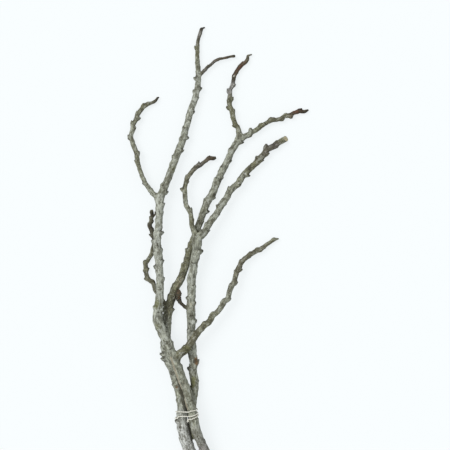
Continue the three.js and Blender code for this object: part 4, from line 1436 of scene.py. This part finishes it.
@dataclass(frozen=True)
class BarkFinish:
    """Procedural bark.

    Args:
        slot: the slot that it dresses.
        streak: strength of the streaks along the limb.
        blotch: strength of the blotches.
        pores: share of the places that have a pale pore or a dark speck.
        film: how much of the pale skin of old bark shows.
        grime: how dark the dark patches are.
        roughness: how matt it is.
    """

    slot: Slot
    streak: float
    blotch: float
    pores: float
    film: float
    grime: float
    roughness: float

    FILM = (0.400, 0.415, 0.390, 1.0)
    GRIME = (0.080, 0.074, 0.046, 1.0)
    MOSS = (0.120, 0.120, 0.036, 1.0)
    PALE = (0.660, 0.680, 0.620, 1.0)
    RUST = (0.200, 0.105, 0.040, 1.0)
    # tan streaks of the bark; along the left rim of the upper stem it is also a painted highlight
    TAN_AND_HIGHLIGHT = (0.340, 0.285, 0.205, 1.0)
    # colour of the dark specks and leaf scars, and of the painted shade
    DARK_SPOT_AND_SHADE = (0.042, 0.037, 0.024, 1.0)
    BUD = (0.040, 0.029, 0.019, 1.0)
    DRAWN_OUT = (1.0, 1.0, 0.22)  # scale that draws the edge of the tan marks out along the limb
    OLD_BARK = (0.045, 0.15)  # green of the tints between which bark turns from young to old
    SHINE = 0.32
    BUMP_STRENGTH = 0.55
    BUMP_DISTANCE = 0.00035

    def build(self, groups: SharedGroups) -> bpy.types.Material:
        """The material, with every part of its pattern made by nodes.

        Args:
            groups: the shared groups.

        Returns:
            The material of the slot.
        """
        material = bpy.data.materials.new(self.slot.value)
        material.use_nodes = True
        graph = Graph(material.node_tree)
        place = graph.attribute("limb_place", "Vector")
        grain = graph.group(groups.grain, Place=place, Streak=self.streak, Blotch=self.blotch)
        spots = graph.group(groups.spots, Place=place, Amount=self.pores)
        tone = grain.outputs["Tone"]
        pore = spots.outputs["Pale"]
        # leaf scars with the painted shade under ledge steps, in grooves and in knot hollows
        scar_and_shade = self._mask(graph, groups, "scar_and_shade", place, 0.8)
        bud = graph.attribute("bud")
        tint = graph.attribute("bark_tint", "Color")
        parted = graph.fill(graph.node("ShaderNodeSeparateColor"), Color=tint)
        old = graph.window(parted.outputs["Green"], *self.OLD_BARK)
        colour = self._bark(graph, grain, old)
        tip = graph.math("MULTIPLY", bud, graph.math("SUBTRACT", 1.1, tone))
        colour = self._stained(graph, groups, place, graph.mix(tip, colour, self.BUD))
        pores = graph.math("MULTIPLY", pore, graph.math("MULTIPLY_ADD", old, 0.38, 0.12))
        colour = graph.mix(pores, colour, self.PALE)
        # painted shade: the shade marks, and the painted shade under ledge steps, in grooves and in knot
        # hollows, darken the bark towards one dark colour, as the dark specks and leaf scars do
        shadow = graph.math("MULTIPLY", self._mask(graph, groups, "shade", place, 0.4), 0.74)
        dark = graph.math("MULTIPLY", spots.outputs["Dark"], 0.62)
        dark = graph.math("MAXIMUM", dark, graph.math("MULTIPLY", scar_and_shade, 0.80))
        colour = graph.mix(graph.math("MAXIMUM", dark, shadow), colour, self.DARK_SPOT_AND_SHADE)
        wood = graph.group(groups.sawn, Place=place).outputs["Colour"]
        rough = graph.math("MULTIPLY_ADD", tone, 0.14, self.roughness - 0.07)
        height = graph.math("SUBTRACT", grain.outputs["Height"], graph.math("MULTIPLY", scar_and_shade, 0.5))
        height = graph.math("ADD", height, graph.math("MULTIPLY", pore, 0.5))
        graph.fill(
            material.node_tree.nodes["Principled BSDF"],
            Base_Color=graph.mix(graph.attribute("sawn"), colour, wood),
            Roughness=graph.math("SUBTRACT", rough, graph.math("MULTIPLY", bud, 0.2)),
            Specular_IOR_Level=self.SHINE,
            Normal=graph.bump(height, self.BUMP_STRENGTH, self.BUMP_DISTANCE),
        )
        return material

    def _bark(self, graph: Graph, grain: bpy.types.Node, old: Socket) -> Socket:
        """Plain bark with its grain, the pale film of old bark and the dark patches.

        Args:
            graph: the graph of the material.
            grain: the group of the grain.
            old: 1 where the bark is old.

        Returns:
            Its colour.
        """
        lift = graph.math("MULTIPLY_ADD", grain.outputs["Tone"], 1.25, 0.38)
        level = graph.math("MAXIMUM", lift, 0.12)
        grey = graph.fill(graph.node("ShaderNodeCombineColor"), Red=level, Green=level, Blue=level)
        colour = graph.mix(1.0, graph.attribute("bark_tint", "Color"), grey.outputs["Color"], "MULTIPLY")
        film = graph.math("MULTIPLY", grain.outputs["Film"], graph.math("MULTIPLY", old, self.film))
        grime = graph.math("MULTIPLY", grain.outputs["Patch"], self.grime)
        return graph.mix(grime, graph.mix(film, colour, self.FILM), self.GRIME)

    def _stained(
        self, graph: Graph, groups: SharedGroups, place: Socket, colour: Socket
    ) -> Socket:
        """Bark with its tan marks, partly painted highlight, and its moss, rust-brown and pale stains.

        Args:
            graph: the graph of the material.
            groups: the shared groups.
            place: coordinates across and along the limb.
            colour: colour of the clean bark.

        Returns:
            The colour of the stained bark.
        """
        drawn_out = graph.stretch(place, self.DRAWN_OUT)
        for name, shade, where, fineness, cover in (
            ("tan", self.TAN_AND_HIGHLIGHT, drawn_out, 0.7, 0.6), ("moss", self.MOSS, place, 0.55, 0.78),
            ("rust", self.RUST, place, 0.4, 0.9), ("pale", self.PALE, place, 0.8, 0.75),
        ):
            mask = self._mask(graph, groups, name, where, fineness)
            colour = graph.mix(graph.math("MULTIPLY", mask, cover), colour, shade)
        return colour

    @staticmethod
    def _mask(
        graph: Graph, groups: SharedGroups, name: str, place: Socket, fineness: float
    ) -> Socket:
        """The mask of one kind of mark, with a ragged edge."""
        ragged = graph.group(groups.patchy, Mask=graph.attribute(name), Place=place, Fineness=fineness)
        return ragged.outputs["Mask"]


@dataclass(frozen=True)
class StringFinish:
    """Undyed plant fibre.

    Args:
        shaded: colour between the fibres.
        bright: colour of the fibres.
    """

    shaded: tuple[float, float, float, float] = (0.50, 0.47, 0.38, 1.0)
    bright: tuple[float, float, float, float] = (0.86, 0.85, 0.78, 1.0)

    ROUGHNESS = 0.88
    BUMP_STRENGTH = 0.5
    BUMP_DISTANCE = 0.0002

    def build(self, groups: SharedGroups) -> bpy.types.Material:
        """The material, with its fibres made by nodes.

        Args:
            groups: the shared groups.

        Returns:
            The material of the string.
        """
        material = bpy.data.materials.new(Slot.STRING.value)
        material.use_nodes = True
        graph = Graph(material.node_tree)
        fibres = graph.group(groups.fibres, Place=graph.attribute("limb_place", "Vector"))
        share = graph.window(fibres.outputs["Tone"], 0.3, 0.62)
        graph.fill(
            material.node_tree.nodes["Principled BSDF"],
            Base_Color=graph.mix(share, self.shaded, self.bright),
            Roughness=self.ROUGHNESS,
            Normal=graph.bump(fibres.outputs["Height"], self.BUMP_STRENGTH, self.BUMP_DISTANCE),
        )
        return material


@dataclass
class Branch:
    """A branch: a stem run and the runs that grow out of it.

    Args:
        name: name of the branch.
        stem: the run that carries the others.
        shoots: the runs that grow out of the stem.
        marks: stains, painted shade and painted highlights on its upper side.
    """

    name: str
    stem: Run
    shoots: list[Run]
    marks: list[Mark]
    pieces: list[tuple[Limb, bpy.types.Object]] = field(default_factory=list)

    def build(self) -> None:
        """Makes the pieces, with fillets at the forks."""
        trunk = Skin(self.stem)
        grown = [Skin(run) for run in self.shoots]
        for skin in grown:
            gaps, _ = trunk.gap_to(skin.middle)
            carrier = trunk
            if gaps[0] > skin.radius[0] * 2:
                others = [other for other in grown if other is not skin]
                carrier = min(others, key=lambda other: other.gap_to(skin.middle[:1])[0][0])
                gaps, _ = carrier.gap_to(skin.middle)
            root = skin.middle[int(np.argmax(gaps > 0.0))]
            skin.fillet(carrier, skin.run.fork, root)
            carrier.fillet(skin, skin.run.fork, root)
        for skin in [trunk, *grown]:
            self.pieces += RunBuilder(skin, self.marks).pieces()
        log.info("%s: %d pieces", self.name, len(self.pieces))

    def dress(self, bark: dict[Slot, bpy.types.Material]) -> None:
        """Gives each piece its material and its place in the frame.

        Args:
            bark: the material of each slot.
        """
        for limb, piece in self.pieces:
            piece.data.materials.append(bark[limb.slot])
            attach(piece, "root")
            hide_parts(limb.node)


class StringTie:
    """The string, laid as two twisted plies round the three stems, with its knot and short ends."""

    STRAND = 0.52  # radius of a ply
    TWIST = 0.44  # distance of a ply from the middle of the strand
    PITCH = 6.5  # length of a full twist
    THICKNESS = 2.0  # of the whole strand
    UNEVEN = 0.06  # share by which a ply is thicker or thinner from place to place
    STEP = 0.5  # spacing of the rings of a ply
    SIDES = 9
    CREASE = 80.0  # angle in degrees above which an edge is sharp
    CLEAR = 1.35  # from the bark to the middle of the strand
    TURN_STEP = 9.0  # degrees between places of the route
    PLY_SHIFT = 90.0  # how far apart the two plies lie in the pattern of the fibres
    TAIL_SHIFT = 400.0  # how far along that pattern the tail starts
    # The winding as [degrees, y]: 90 is on top of the stems and 0 at their right
    PASSES = [
        [104, -254.6], [40, -251.2], [0, -249.2], [-90, -252.4], [-180, -256.4], [-232, -254.8],
        [-246, -250.8], [-270, -249.8], [-330, -247.6], [-360, -246.4], [-450, -246.8], [-540, -246.2],
        [-592, -245.2], [-606, -243.2], [-630, -242.6], [-690, -241.8], [-720, -241.4], [-800, -242.6],
    ]
    KNOT = [
        [-44.8, -259.8, 21.6], [-45.8, -259.0, 22.2], [-46.2, -257.6, 22.8], [-45.2, -256.6, 23.8],
        [-44.5, -257.6, 23.8], [-45.4, -258.6, 23.2], [-46.4, -257.6, 23.2], [-45.9, -256.2, 24.0],
        [-44.6, -255.4, 25.2],
    ]
    TAIL = [
        [-45.2, -257.6, 23.6], [-46.3, -258.2, 22.6], [-46.9, -259.4, 21.2], [-46.4, -260.6, 20.0],
    ]

    def __init__(self) -> None:
        """Takes the middle lines of the tied stems."""
        self.stems = [Axis(UPPER_STEM), Axis(MIDDLE_STEM), Axis(LOWER_STEM)]
        self.piece: bpy.types.Object | None = None

    def _hull(self, degrees: float, y: float) -> list[float]:
        """The outermost place of the tied stems in a direction.

        Args:
            degrees: the direction, 90 being the top.
            y: place along the bunch.

        Returns:
            [x, y, z] of that place.
        """
        angle = math.radians(degrees)
        found = []
        for stem in self.stems:
            ring = int(np.argmin(np.abs(stem.points[:, 1] - y)))
            ahead = stem.points[min(ring + 2, len(stem.points) - 1)] - stem.points[max(ring - 2, 0)]
            radius = stem.radii[ring] / unit(ahead)[1] + self.CLEAR
            x, _, z = stem.points[ring]
            reach = x * math.cos(angle) + z * math.sin(angle) + radius
            found.append((reach, [x + math.cos(angle) * radius, y, z + math.sin(angle) * radius]))
        return max(found, key=lambda place: place[0])[1]

    def _winding(self) -> Rows:
        """The places of the passes round the stems.

        Returns:
            [x, y, z, thickness] of each.
        """
        turns = [row[0] for row in self.PASSES]
        heights = [row[1] for row in self.PASSES]
        count = int((turns[0] - turns[-1]) / self.TURN_STEP)
        found = []
        for degrees in np.linspace(turns[0], turns[-1], count + 1):
            y = float(np.interp(-degrees, [-turn for turn in turns], heights))
            found.append(self._hull(float(degrees), y) + [self.THICKNESS])
        return found

    def _strand(self, patch: Patch, rows: Rows, shift: float) -> None:
        """Adds the two plies along a route.

        Args:
            patch: the piece that they join.
            rows: [x, y, z, thickness] along the route.
            shift: how far along the pattern of the fibres it starts.
        """
        axis = Axis(rows)
        along = np.arange(0.0, axis.length, self.STEP)
        middle, _, tangent = axis.at(along)
        side = np.zeros_like(middle)
        side[0] = unit(np.cross(tangent[0], np.array([0.0, 1.0, 0.3])))
        for i in range(1, len(along)):
            side[i] = unit(side[i - 1] - tangent[i] * (side[i - 1] @ tangent[i]))
        up = np.cross(tangent, side)
        turn = np.arange(self.SIDES) * (2 * math.pi / self.SIDES)
        for ply in range(2):
            phase = 2 * math.pi * (along / self.PITCH) + ply * math.pi
            offset = side * np.cos(phase)[:, None] + up * np.sin(phase)[:, None]
            across = -side * np.sin(phase)[:, None] + up * np.cos(phase)[:, None]
            centre = middle + offset * self.TWIST
            ring = offset[:, None] * np.cos(turn)[:, None] + across[:, None] * np.sin(turn)[:, None]
            radius = self.STRAND * (1.0 + self.UNEVEN * lattice_noise(centre / 1.3, 31))
            points = centre[:, None] + ring * radius[:, None, None]
            points[..., 2] = np.maximum(points[..., 2], STAND_CLEAR)
            place = np.stack([
                np.broadcast_to(np.cos(turn) * self.STRAND, points.shape[:2]),
                np.broadcast_to(np.sin(turn) * self.STRAND, points.shape[:2]),
                np.broadcast_to(along[:, None] + shift + self.PLY_SHIFT * ply, points.shape[:2]),
            ], -1)
            size = points.shape[0] * points.shape[1]
            blank = np.zeros((size, len(Stain)))
            start = patch.add(
                points.reshape(-1, 3), place.reshape(-1, 3), np.zeros((size, 3)), blank, np.zeros(size)
            )
            patch.tube(start, len(along), self.SIDES)
            for row, forward in ((0, False), (len(along) - 1, True)):
                end = patch.add(
                    centre[row][None], place[row, :1], np.zeros((1, 3)), blank[:1], np.zeros(1)
                )
                patch.fan(start + row * self.SIDES, self.SIDES, end, forward)

    def build(self) -> None:
        """Makes the string."""
        patch = Patch()
        knot = [row + [self.THICKNESS] for row in self.KNOT]
        self._strand(patch, knot + self._winding(), 0.0)
        self._strand(patch, [row + [self.THICKNESS] for row in self.TAIL], self.TAIL_SHIFT)
        self.piece = patch.mesh("string_winding", self.CREASE)
        log.info("string: %d corners", len(self.piece.data.vertices))

    def dress(self, material: bpy.types.Material) -> None:
        """Gives the string its material and its place in the frame.

        Args:
            material: the material of the string.
        """
        self.piece.data.materials.append(material)
        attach(self.piece, "root")
        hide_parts("string_tie")


@dataclass(frozen=True)
class Studio:
    """A pale floor, soft light and the camera that looks straight down.

    Args:
        floor_size: width of the floor in metres.
        height: height of the camera in metres.
        middle: place over which the camera stands, in metres.
        seen: width of the view at the level of the bark, in metres.
        level: height of the bark that is seen at that width, in metres.
        sensor: width of the sensor in millimetres.
    """

    floor_size: float = 6.0
    height: float = 2.0
    middle: tuple[float, float] = (0.0095, 0.0335)
    seen: float = 0.675
    level: float = 0.008
    sensor: float = 36.0

    FLOOR = (0.160, 0.166, 0.168, 1.0)
    BOUNCE = (0.520, 0.530, 0.530, 1.0)
    SHEET = (0.950, 0.988, 1.0, 1.0)
    SHEET_ROUGHNESS = 0.9
    SHEET_SHINE = 0.1
    GLOW = 0.81
    SKY_COLOUR = (0.97, 1.0, 1.0, 1.0)
    SKY = 0.72
    KEY_AIM = (1.0, -0.62, -1.35)
    KEY_SPREAD = 34.0
    KEY_STRENGTH = 1.65

    def build(self) -> None:
        """Adds the floor, the light and the camera."""
        self._floor()
        self._light()
        self._camera()
        log.info("studio ready")

    def _floor(self) -> None:
        """A plain pale sheet."""
        half = self.floor_size / 2
        data = bpy.data.meshes.new("floor")
        corners = [(-half, -half, 0), (half, -half, 0), (half, half, 0), (-half, half, 0)]
        data.from_pydata(corners, [], [(0, 1, 2, 3)])
        floor = bpy.data.objects.new("floor", data)
        bpy.context.scene.collection.objects.link(floor)
        material = bpy.data.materials.new("pale_sheet")
        material.use_nodes = True
        graph = Graph(material.node_tree)
        seen = graph.node("ShaderNodeLightPath").outputs["Is Camera Ray"]
        graph.fill(
            material.node_tree.nodes["Principled BSDF"],
            Base_Color=graph.mix(seen, self.BOUNCE, self.FLOOR),
            Roughness=self.SHEET_ROUGHNESS,
            Specular_IOR_Level=self.SHEET_SHINE,
            Emission_Color=self.SHEET,
            Emission_Strength=graph.math("MULTIPLY", seen, self.GLOW),
        )
        data.materials.append(material)

    def _light(self) -> None:
        """Light from all round, and soft light from the upper left."""
        world = bpy.data.worlds.new("studio")
        world.use_nodes = True
        Graph(world.node_tree).fill(
            world.node_tree.nodes["Background"], Color=self.SKY_COLOUR, Strength=self.SKY
        )
        bpy.context.scene.world = world
        lamp = bpy.data.lights.new("key", "SUN")
        lamp.angle = math.radians(self.KEY_SPREAD)
        lamp.energy = self.KEY_STRENGTH
        key = bpy.data.objects.new("key", lamp)
        key.rotation_mode = "QUATERNION"
        key.rotation_quaternion = Vector(self.KEY_AIM).to_track_quat("-Z", "Y")
        bpy.context.scene.collection.objects.link(key)

    def _camera(self) -> None:
        """The camera of the photograph."""
        data = bpy.data.cameras.new("camera")
        data.sensor_width = self.sensor
        data.lens = self.sensor * (self.height - self.level) / self.seen
        camera = bpy.data.objects.new("camera", data)
        camera.location = (*self.middle, self.height)
        bpy.context.scene.collection.objects.link(camera)
        bpy.context.scene.camera = camera
        bpy.context.scene.view_settings.view_transform = "Standard"


def limb(node: str, slot: Slot, rows: Rows, ledges: Rows, *tints: tuple[float, Tint]) -> Limb:
    """A limb with its colours from the base to the tip."""
    return Limb(node, slot, rows, ledges, list(tints))


def upper_branch() -> Branch:
    """The branch that lies on top of the other two.

    Returns:
        The branch, not yet built.
    """
    stem = Run([
        limb("upper_branch_stem", Slot.STEM_BARK, UPPER_STEM, [], (0.0, Tint.OLIVE),
             (0.22, Tint.VIOLET_GREY), (0.45, Tint.GREY), (0.72, Tint.GREY), (1.0, Tint.GREY)),
        limb("upper_branch_main_limb", Slot.STEM_BARK, UPPER_LIMB, UPPER_LIMB_LEDGES,
             (0.0, Tint.GREY), (0.25, Tint.PALE_GREY), (1.0, Tint.PALE_GREY)),
        limb("upper_branch_leader", Slot.STEM_BARK, UPPER_LEADER, UPPER_LEADER_LEDGES,
             (0.0, Tint.GREY), (0.3, Tint.GREY), (0.6, Tint.PALE_GREY), (0.74, Tint.GREY),
             (0.82, Tint.OLIVE), (0.88, Tint.OLIVE), (0.92, Tint.ASH), (0.96, Tint.ASH),
             (0.98, Tint.DARK), (1.0, Tint.DARK)),
    ], seed=3, cut_base=True)
    left = Run([
        limb("upper_branch_left_shoot", Slot.SHOOT_BARK, UPPER_LEFT_SHOOT, UPPER_LEFT_LEDGES,
             (0.0, Tint.GREY), (0.12, Tint.GREY), (0.4, Tint.OLIVE), (0.6, Tint.GREY),
             (0.84, Tint.OLIVE), (0.91, Tint.DULL), (0.96, Tint.DARK), (1.0, Tint.DARK)),
    ], seed=4, fork=3.8, tight=1.3)
    twig = Run([
        limb("upper_branch_side_twig", Slot.TWIG_BARK, UPPER_SIDE_TWIG, [],
             (0.0, Tint.DULL), (0.15, Tint.ASH), (0.45, Tint.ASH), (0.6, Tint.BROWN),
             (0.9, Tint.BROWN), (0.97, Tint.DARK), (1.0, Tint.DARK)),
    ], seed=5, fork=2.2, tight=1.5)
    right = Run([
        limb("upper_branch_right_shoot", Slot.SHOOT_BARK, UPPER_RIGHT_SHOOT, UPPER_RIGHT_LEDGES,
             (0.0, Tint.OLIVE), (0.12, Tint.DULL), (0.3, Tint.OLIVE), (0.5, Tint.GREY),
             (0.65, Tint.DULL), (0.86, Tint.DULL), (0.97, Tint.OLIVE), (1.0, Tint.OLIVE)),
    ], seed=6, fork=4.4, tight=1.3)
    # SHADE marks are painted shade: in the fork, on the stem's side away from the light and beside the
    # ledges of the leader
    marks = [
        Mark(-93.2, -83.5, 7.0, Stain.MOSS, 1.3), Mark(-91.8, -116.5, 6.5, Stain.MOSS, 0.8),
        Mark(-85.0, -91.8, 1.6, Stain.PALE), Mark(-67.0, 116.0, 6.0, Stain.MOSS, 0.7),
        Mark(-46.8, -151.0, 7.5, Stain.MOSS, 0.9),
        Mark(-39.6, -127.0, 2.2, Stain.PALE), Mark(-93.0, 4.0, 6.0, Stain.SHADE, 0.6),
        # painted highlight: the next two narrow tan marks draw the pale line along the left rim of the
        # upper stem, where the light falls, partly a pale seam of the bark
        Mark(-71.0, -163.0, 1.2, Stain.TAN, 2.2, (10.0, -30.0)),
        Mark(-61.0, -193.0, 1.1, Stain.TAN, 2.2, (15.0, -48.0)),
        Mark(-53.0, -197.0, 2.2, Stain.TAN, 0.6, (5.0, -18.0)),
        Mark(-76.0, -140.0, 5.0, Stain.SHADE, 0.8, (3.0, -5.0)),
        Mark(-42.0, -208.0, 2.6, Stain.SHADE, 0.55, (7.0, -32.0)),
        Mark(-53.5, -160.0, 4.0, Stain.SHADE, 0.8, (6.0, 8.0)),
        Mark(-72.0, -158.0, 4.5, Stain.SHADE, 0.6, (3.0, -4.0)),
        Mark(-30.8, 225.0, 2.3, Stain.SHADE, 0.9), Mark(-36.5, 203.0, 2.2, Stain.SHADE),
        Mark(-52.0, 179.5, 2.6, Stain.SHADE), Mark(-45.6, 165.5, 2.2, Stain.SHADE),
        Mark(-54.5, 143.0, 2.6, Stain.SHADE), Mark(-84.0, 92.5, 2.8, Stain.SHADE),
        Mark(-76.8, 84.0, 2.2, Stain.SHADE),
    ]
    return Branch("upper branch", stem, [left, twig, right], marks)


def middle_branch() -> Branch:
    """The branch whose cut end lies under the upper branch.

    Returns:
        The branch, not yet built.
    """
    stem = Run([
        limb("middle_branch_stem", Slot.STEM_BARK, MIDDLE_STEM, MIDDLE_STEM_LEDGES,
             (0.0, Tint.OLIVE), (0.25, Tint.GREY), (0.5, Tint.PALE_GREY), (0.65, Tint.GREY),
             (0.8, Tint.PALE_GREY), (1.0, Tint.GREY)),
        limb("middle_branch_cut_shoot", Slot.SHOOT_BARK, MIDDLE_CUT_SHOOT, MIDDLE_CUT_LEDGES,
             (0.0, Tint.GREY), (0.4, Tint.GREY), (0.65, Tint.OLIVE), (0.78, Tint.DULL),
             (0.86, Tint.ASH), (0.91, Tint.ASH), (0.96, Tint.OLIVE), (1.0, Tint.OLIVE)),
    ], seed=7, cut_base=True, cut_tip=True)
    curled = Run([
        limb("middle_branch_curled_shoot", Slot.SHOOT_BARK, MIDDLE_CURLED_SHOOT, MIDDLE_CURLED_LEDGES,
             (0.0, Tint.GREY), (0.2, Tint.OLIVE), (0.42, Tint.GREY), (0.55, Tint.OLIVE),
             (0.7, Tint.DULL), (0.82, Tint.ASH), (0.9, Tint.BROWN), (1.0, Tint.DARK)),
    ], seed=8, fork=3.8, tight=1.3)
    spur = Run([
        Limb("middle_branch_spur_twig", Slot.TWIG_BARK, MIDDLE_SPUR_TWIG, MIDDLE_SPUR_LEDGES,
             [(0.0, Tint.DULL), (0.2, Tint.DARK), (0.75, Tint.DARK), (0.85, Tint.BROWN), (1.0, Tint.DARK)],
             bud_size=1.9),
    ], seed=9, fork=2.2, tight=1.8)
    # SHADE marks are painted shade: in the hollow of the rust-brown eye, in the crotches of the shoots and
    # beside ledges
    marks = [
        Mark(-37.6, -111.5, 3.0, Stain.PALE, 1.6), Mark(-34.3, -167.0, 3.0, Stain.RUST, 1.3, (0.6, -6.0)),
        Mark(-36.6, -172.0, 2.3, Stain.SHADE, 1.8, (0.8, 3.5)),
        Mark(-59.6, -74.0, 4.5, Stain.RUST, 0.4, (0.0, 10.0)),
        Mark(-34.2, -170.2, 1.5, Stain.SHADE, 1.2),
        Mark(-21.0, 20.5, 2.6, Stain.PALE, 0.9), Mark(-26.5, 19.0, 2.2, Stain.SHADE, 1.2),
        Mark(-17.0, 26.5, 2.4, Stain.SHADE, 1.0),
        Mark(-45.2, -181.5, 4.5, Stain.SHADE, 1.3),
        Mark(-38.0, -196.5, 3.8, Stain.MOSS, 1.4, (-0.5, -11.0)),
        Mark(-42.5, -196.0, 2.0, Stain.SHADE, 0.7, (1.5, -26.0)),
        Mark(99.0, 162.0, 3.0, Stain.PALE, 0.5),
        Mark(-40.0, -86.5, 9.0, Stain.TAN, 0.6), Mark(39.5, 110.0, 3.0, Stain.PALE, 0.8),
        Mark(30.0, 96.0, 2.2, Stain.PALE, 0.7), Mark(10.0, 72.0, 3.4, Stain.SHADE, 0.7),
        Mark(0.5, 63.5, 2.6, Stain.SHADE, 0.9), Mark(38.0, 107.0, 3.4, Stain.SHADE, 0.7),
        Mark(47.0, 119.0, 2.6, Stain.SHADE, 0.8), Mark(56.5, 134.0, 3.0, Stain.SHADE),
        Mark(66.5, 131.0, 2.6, Stain.SHADE), Mark(31.8, 94.0, 2.4, Stain.SHADE, 0.9),
        Mark(-14.6, 23.2, 2.2, Stain.SHADE),
    ]
    return Branch("middle branch", stem, [curled, spur], marks)


def lower_branch() -> Branch:
    """The thickest branch, which lies under both others.

    Returns:
        The branch, not yet built.
    """
    stem = Run([
        limb("lower_branch_stem", Slot.STEM_BARK, LOWER_STEM, LOWER_STEM_LEDGES,
             (0.0, Tint.SILVER), (0.13, Tint.SILVER), (0.2, Tint.GREY), (0.33, Tint.PALE_GREY),
             (0.42, Tint.GREY), (0.47, Tint.OLIVE), (0.52, Tint.OLIVE), (0.66, Tint.OLIVE),
             (0.78, Tint.GREY), (0.9, Tint.GREY), (1.0, Tint.GREY)),
        limb("lower_branch_left_shoot", Slot.SHOOT_BARK, LOWER_LEFT_SHOOT, LOWER_LEFT_LEDGES,
             (0.0, Tint.GREY), (0.12, Tint.OLIVE), (0.42, Tint.OLIVE), (0.48, Tint.VIOLET_GREY),
             (0.6, Tint.VIOLET_GREY), (0.65, Tint.DARK), (0.7, Tint.BROWN), (0.8, Tint.RED_BROWN),
             (0.9, Tint.BROWN), (1.0, Tint.DULL)),
    ], seed=10, cut_base=True, knots=[Knot(-62.5, -208.0, 3.4, 0.55), Knot(-57.2, -268.0, 3.2, 0.4)])
    right = Run([
        limb("lower_branch_right_shoot", Slot.SHOOT_BARK, LOWER_RIGHT_SHOOT, LOWER_RIGHT_LEDGES,
             (0.0, Tint.GREY), (0.14, Tint.GREY), (0.3, Tint.OLIVE), (0.6, Tint.DULL),
             (0.7, Tint.OLIVE), (0.76, Tint.BROWN), (0.84, Tint.RED_BROWN), (0.93, Tint.DARK),
             (1.0, Tint.DARK)),
    ], seed=11, fork=3.6, tight=1.3)
    wavy = Run([
        limb("lower_branch_wavy_shoot", Slot.TWIG_BARK, LOWER_WAVY_SHOOT, LOWER_WAVY_LEDGES,
             (0.0, Tint.DULL), (0.3, Tint.DULL), (0.52, Tint.OLIVE), (0.66, Tint.DULL),
             (0.72, Tint.DARK), (0.79, Tint.DULL), (0.84, Tint.DARK), (0.9, Tint.DULL),
             (0.95, Tint.DARK), (1.0, Tint.DULL)),
    ], seed=12, fork=3.4, tight=1.5)
    bud_spur = Run([
        Limb("lower_branch_wavy_shoot", Slot.TWIG_BARK, LOWER_WAVY_SPUR, [],
             [(0.0, Tint.BROWN), (1.0, Tint.DARK)], "spur"),
    ], seed=13, fork=1.6)
    # SHADE marks are painted shade: along the gap against the upper branch, on the sides of the shoots away
    # from the light, in a knot and beside ledges
    marks = [
        Mark(-62.0, -58.0, 2.5, Stain.TAN, 0.7, (8.0, 14.0)),
        Mark(-58.0, -48.0, 2.6, Stain.SHADE, 0.8, (5.0, 12.0)),
        Mark(-79.5, -114.0, 3.6, Stain.SHADE, 1.1, (2.5, 18.0)),
        Mark(-75.0, -92.0, 6.0, Stain.SHADE, 0.85, (5.5, 14.0)),
        Mark(-69.0, -74.0, 4.0, Stain.SHADE, 0.8),
        Mark(-70.0, -187.0, 5.0, Stain.SHADE), Mark(-62.5, -208.0, 2.6, Stain.RUST),
        Mark(-57.2, -269.0, 2.4, Stain.SHADE, 1.3), Mark(23.0, 257.0, 1.7, Stain.PALE, 0.8),
        Mark(-84.0, -155.0, 5.0, Stain.PALE, 0.5), Mark(-80.0, -151.0, 3.5, Stain.SHADE, 1.1),
        Mark(-81.0, -170.5, 4.0, Stain.SHADE, 0.9), Mark(-69.5, -187.5, 4.2, Stain.SHADE, 1.4),
        Mark(-61.5, -192.0, 2.8, Stain.SHADE, 1.9, (12.5, -52.0)),
        Mark(-46.5, -258.0, 2.4, Stain.SHADE, 1.3, (6.0, -30.0)),
        Mark(17.8, 130.0, 2.8, Stain.SHADE, 0.9), Mark(5.2, 121.0, 2.8, Stain.SHADE, 0.9),
        Mark(3.4, 103.0, 3.2, Stain.SHADE, 0.9, (-1.0, -4.0)), Mark(-6.0, 79.0, 3.2, Stain.SHADE),
        Mark(17.4, 149.0, 2.6, Stain.SHADE, 0.8), Mark(-20.4, 71.0, 2.2, Stain.SHADE, 0.9),
        Mark(-31.0, 44.0, 3.2, Stain.SHADE, 0.7, (3.0, -8.0)),
    ]
    return Branch("lower branch", stem, [right, wavy, bud_spur], marks)


class TiedBranches:
    """The whole bunch."""

    def __init__(self) -> None:
        """Plans the branches and the string."""
        self.branches = [upper_branch(), middle_branch(), lower_branch()]
        self.string = StringTie()

    def build(self) -> None:
        """Makes every piece."""
        for branch in self.branches:
            branch.build()
        self.string.build()

    def dress(self) -> None:
        """Makes the materials and gives them to the pieces."""
        groups = SharedGroups()
        finishes = [
            BarkFinish(Slot.STEM_BARK, 1.7, 2.7, pores=0.42, film=0.62, grime=0.62, roughness=0.86),
            BarkFinish(Slot.SHOOT_BARK, 1.4, 2.7, pores=0.46, film=0.58, grime=0.74, roughness=0.84),
            BarkFinish(Slot.TWIG_BARK, 1.3, 2.6, pores=0.42, film=0.46, grime=0.66, roughness=0.80),
        ]
        bark = {finish.slot: finish.build(groups) for finish in finishes}
        for branch in self.branches:
            branch.dress(bark)
        self.string.dress(StringFinish().build(groups))


def write_size() -> None:
    """Logs a closing line; no box is written."""
    log.info("size written")


def main() -> None:
    """Builds the scene."""
    bunch = TiedBranches()
    bunch.build()
    bunch.dress()
    Studio().build()


if __name__ == "__main__":
    main()
    write_size()
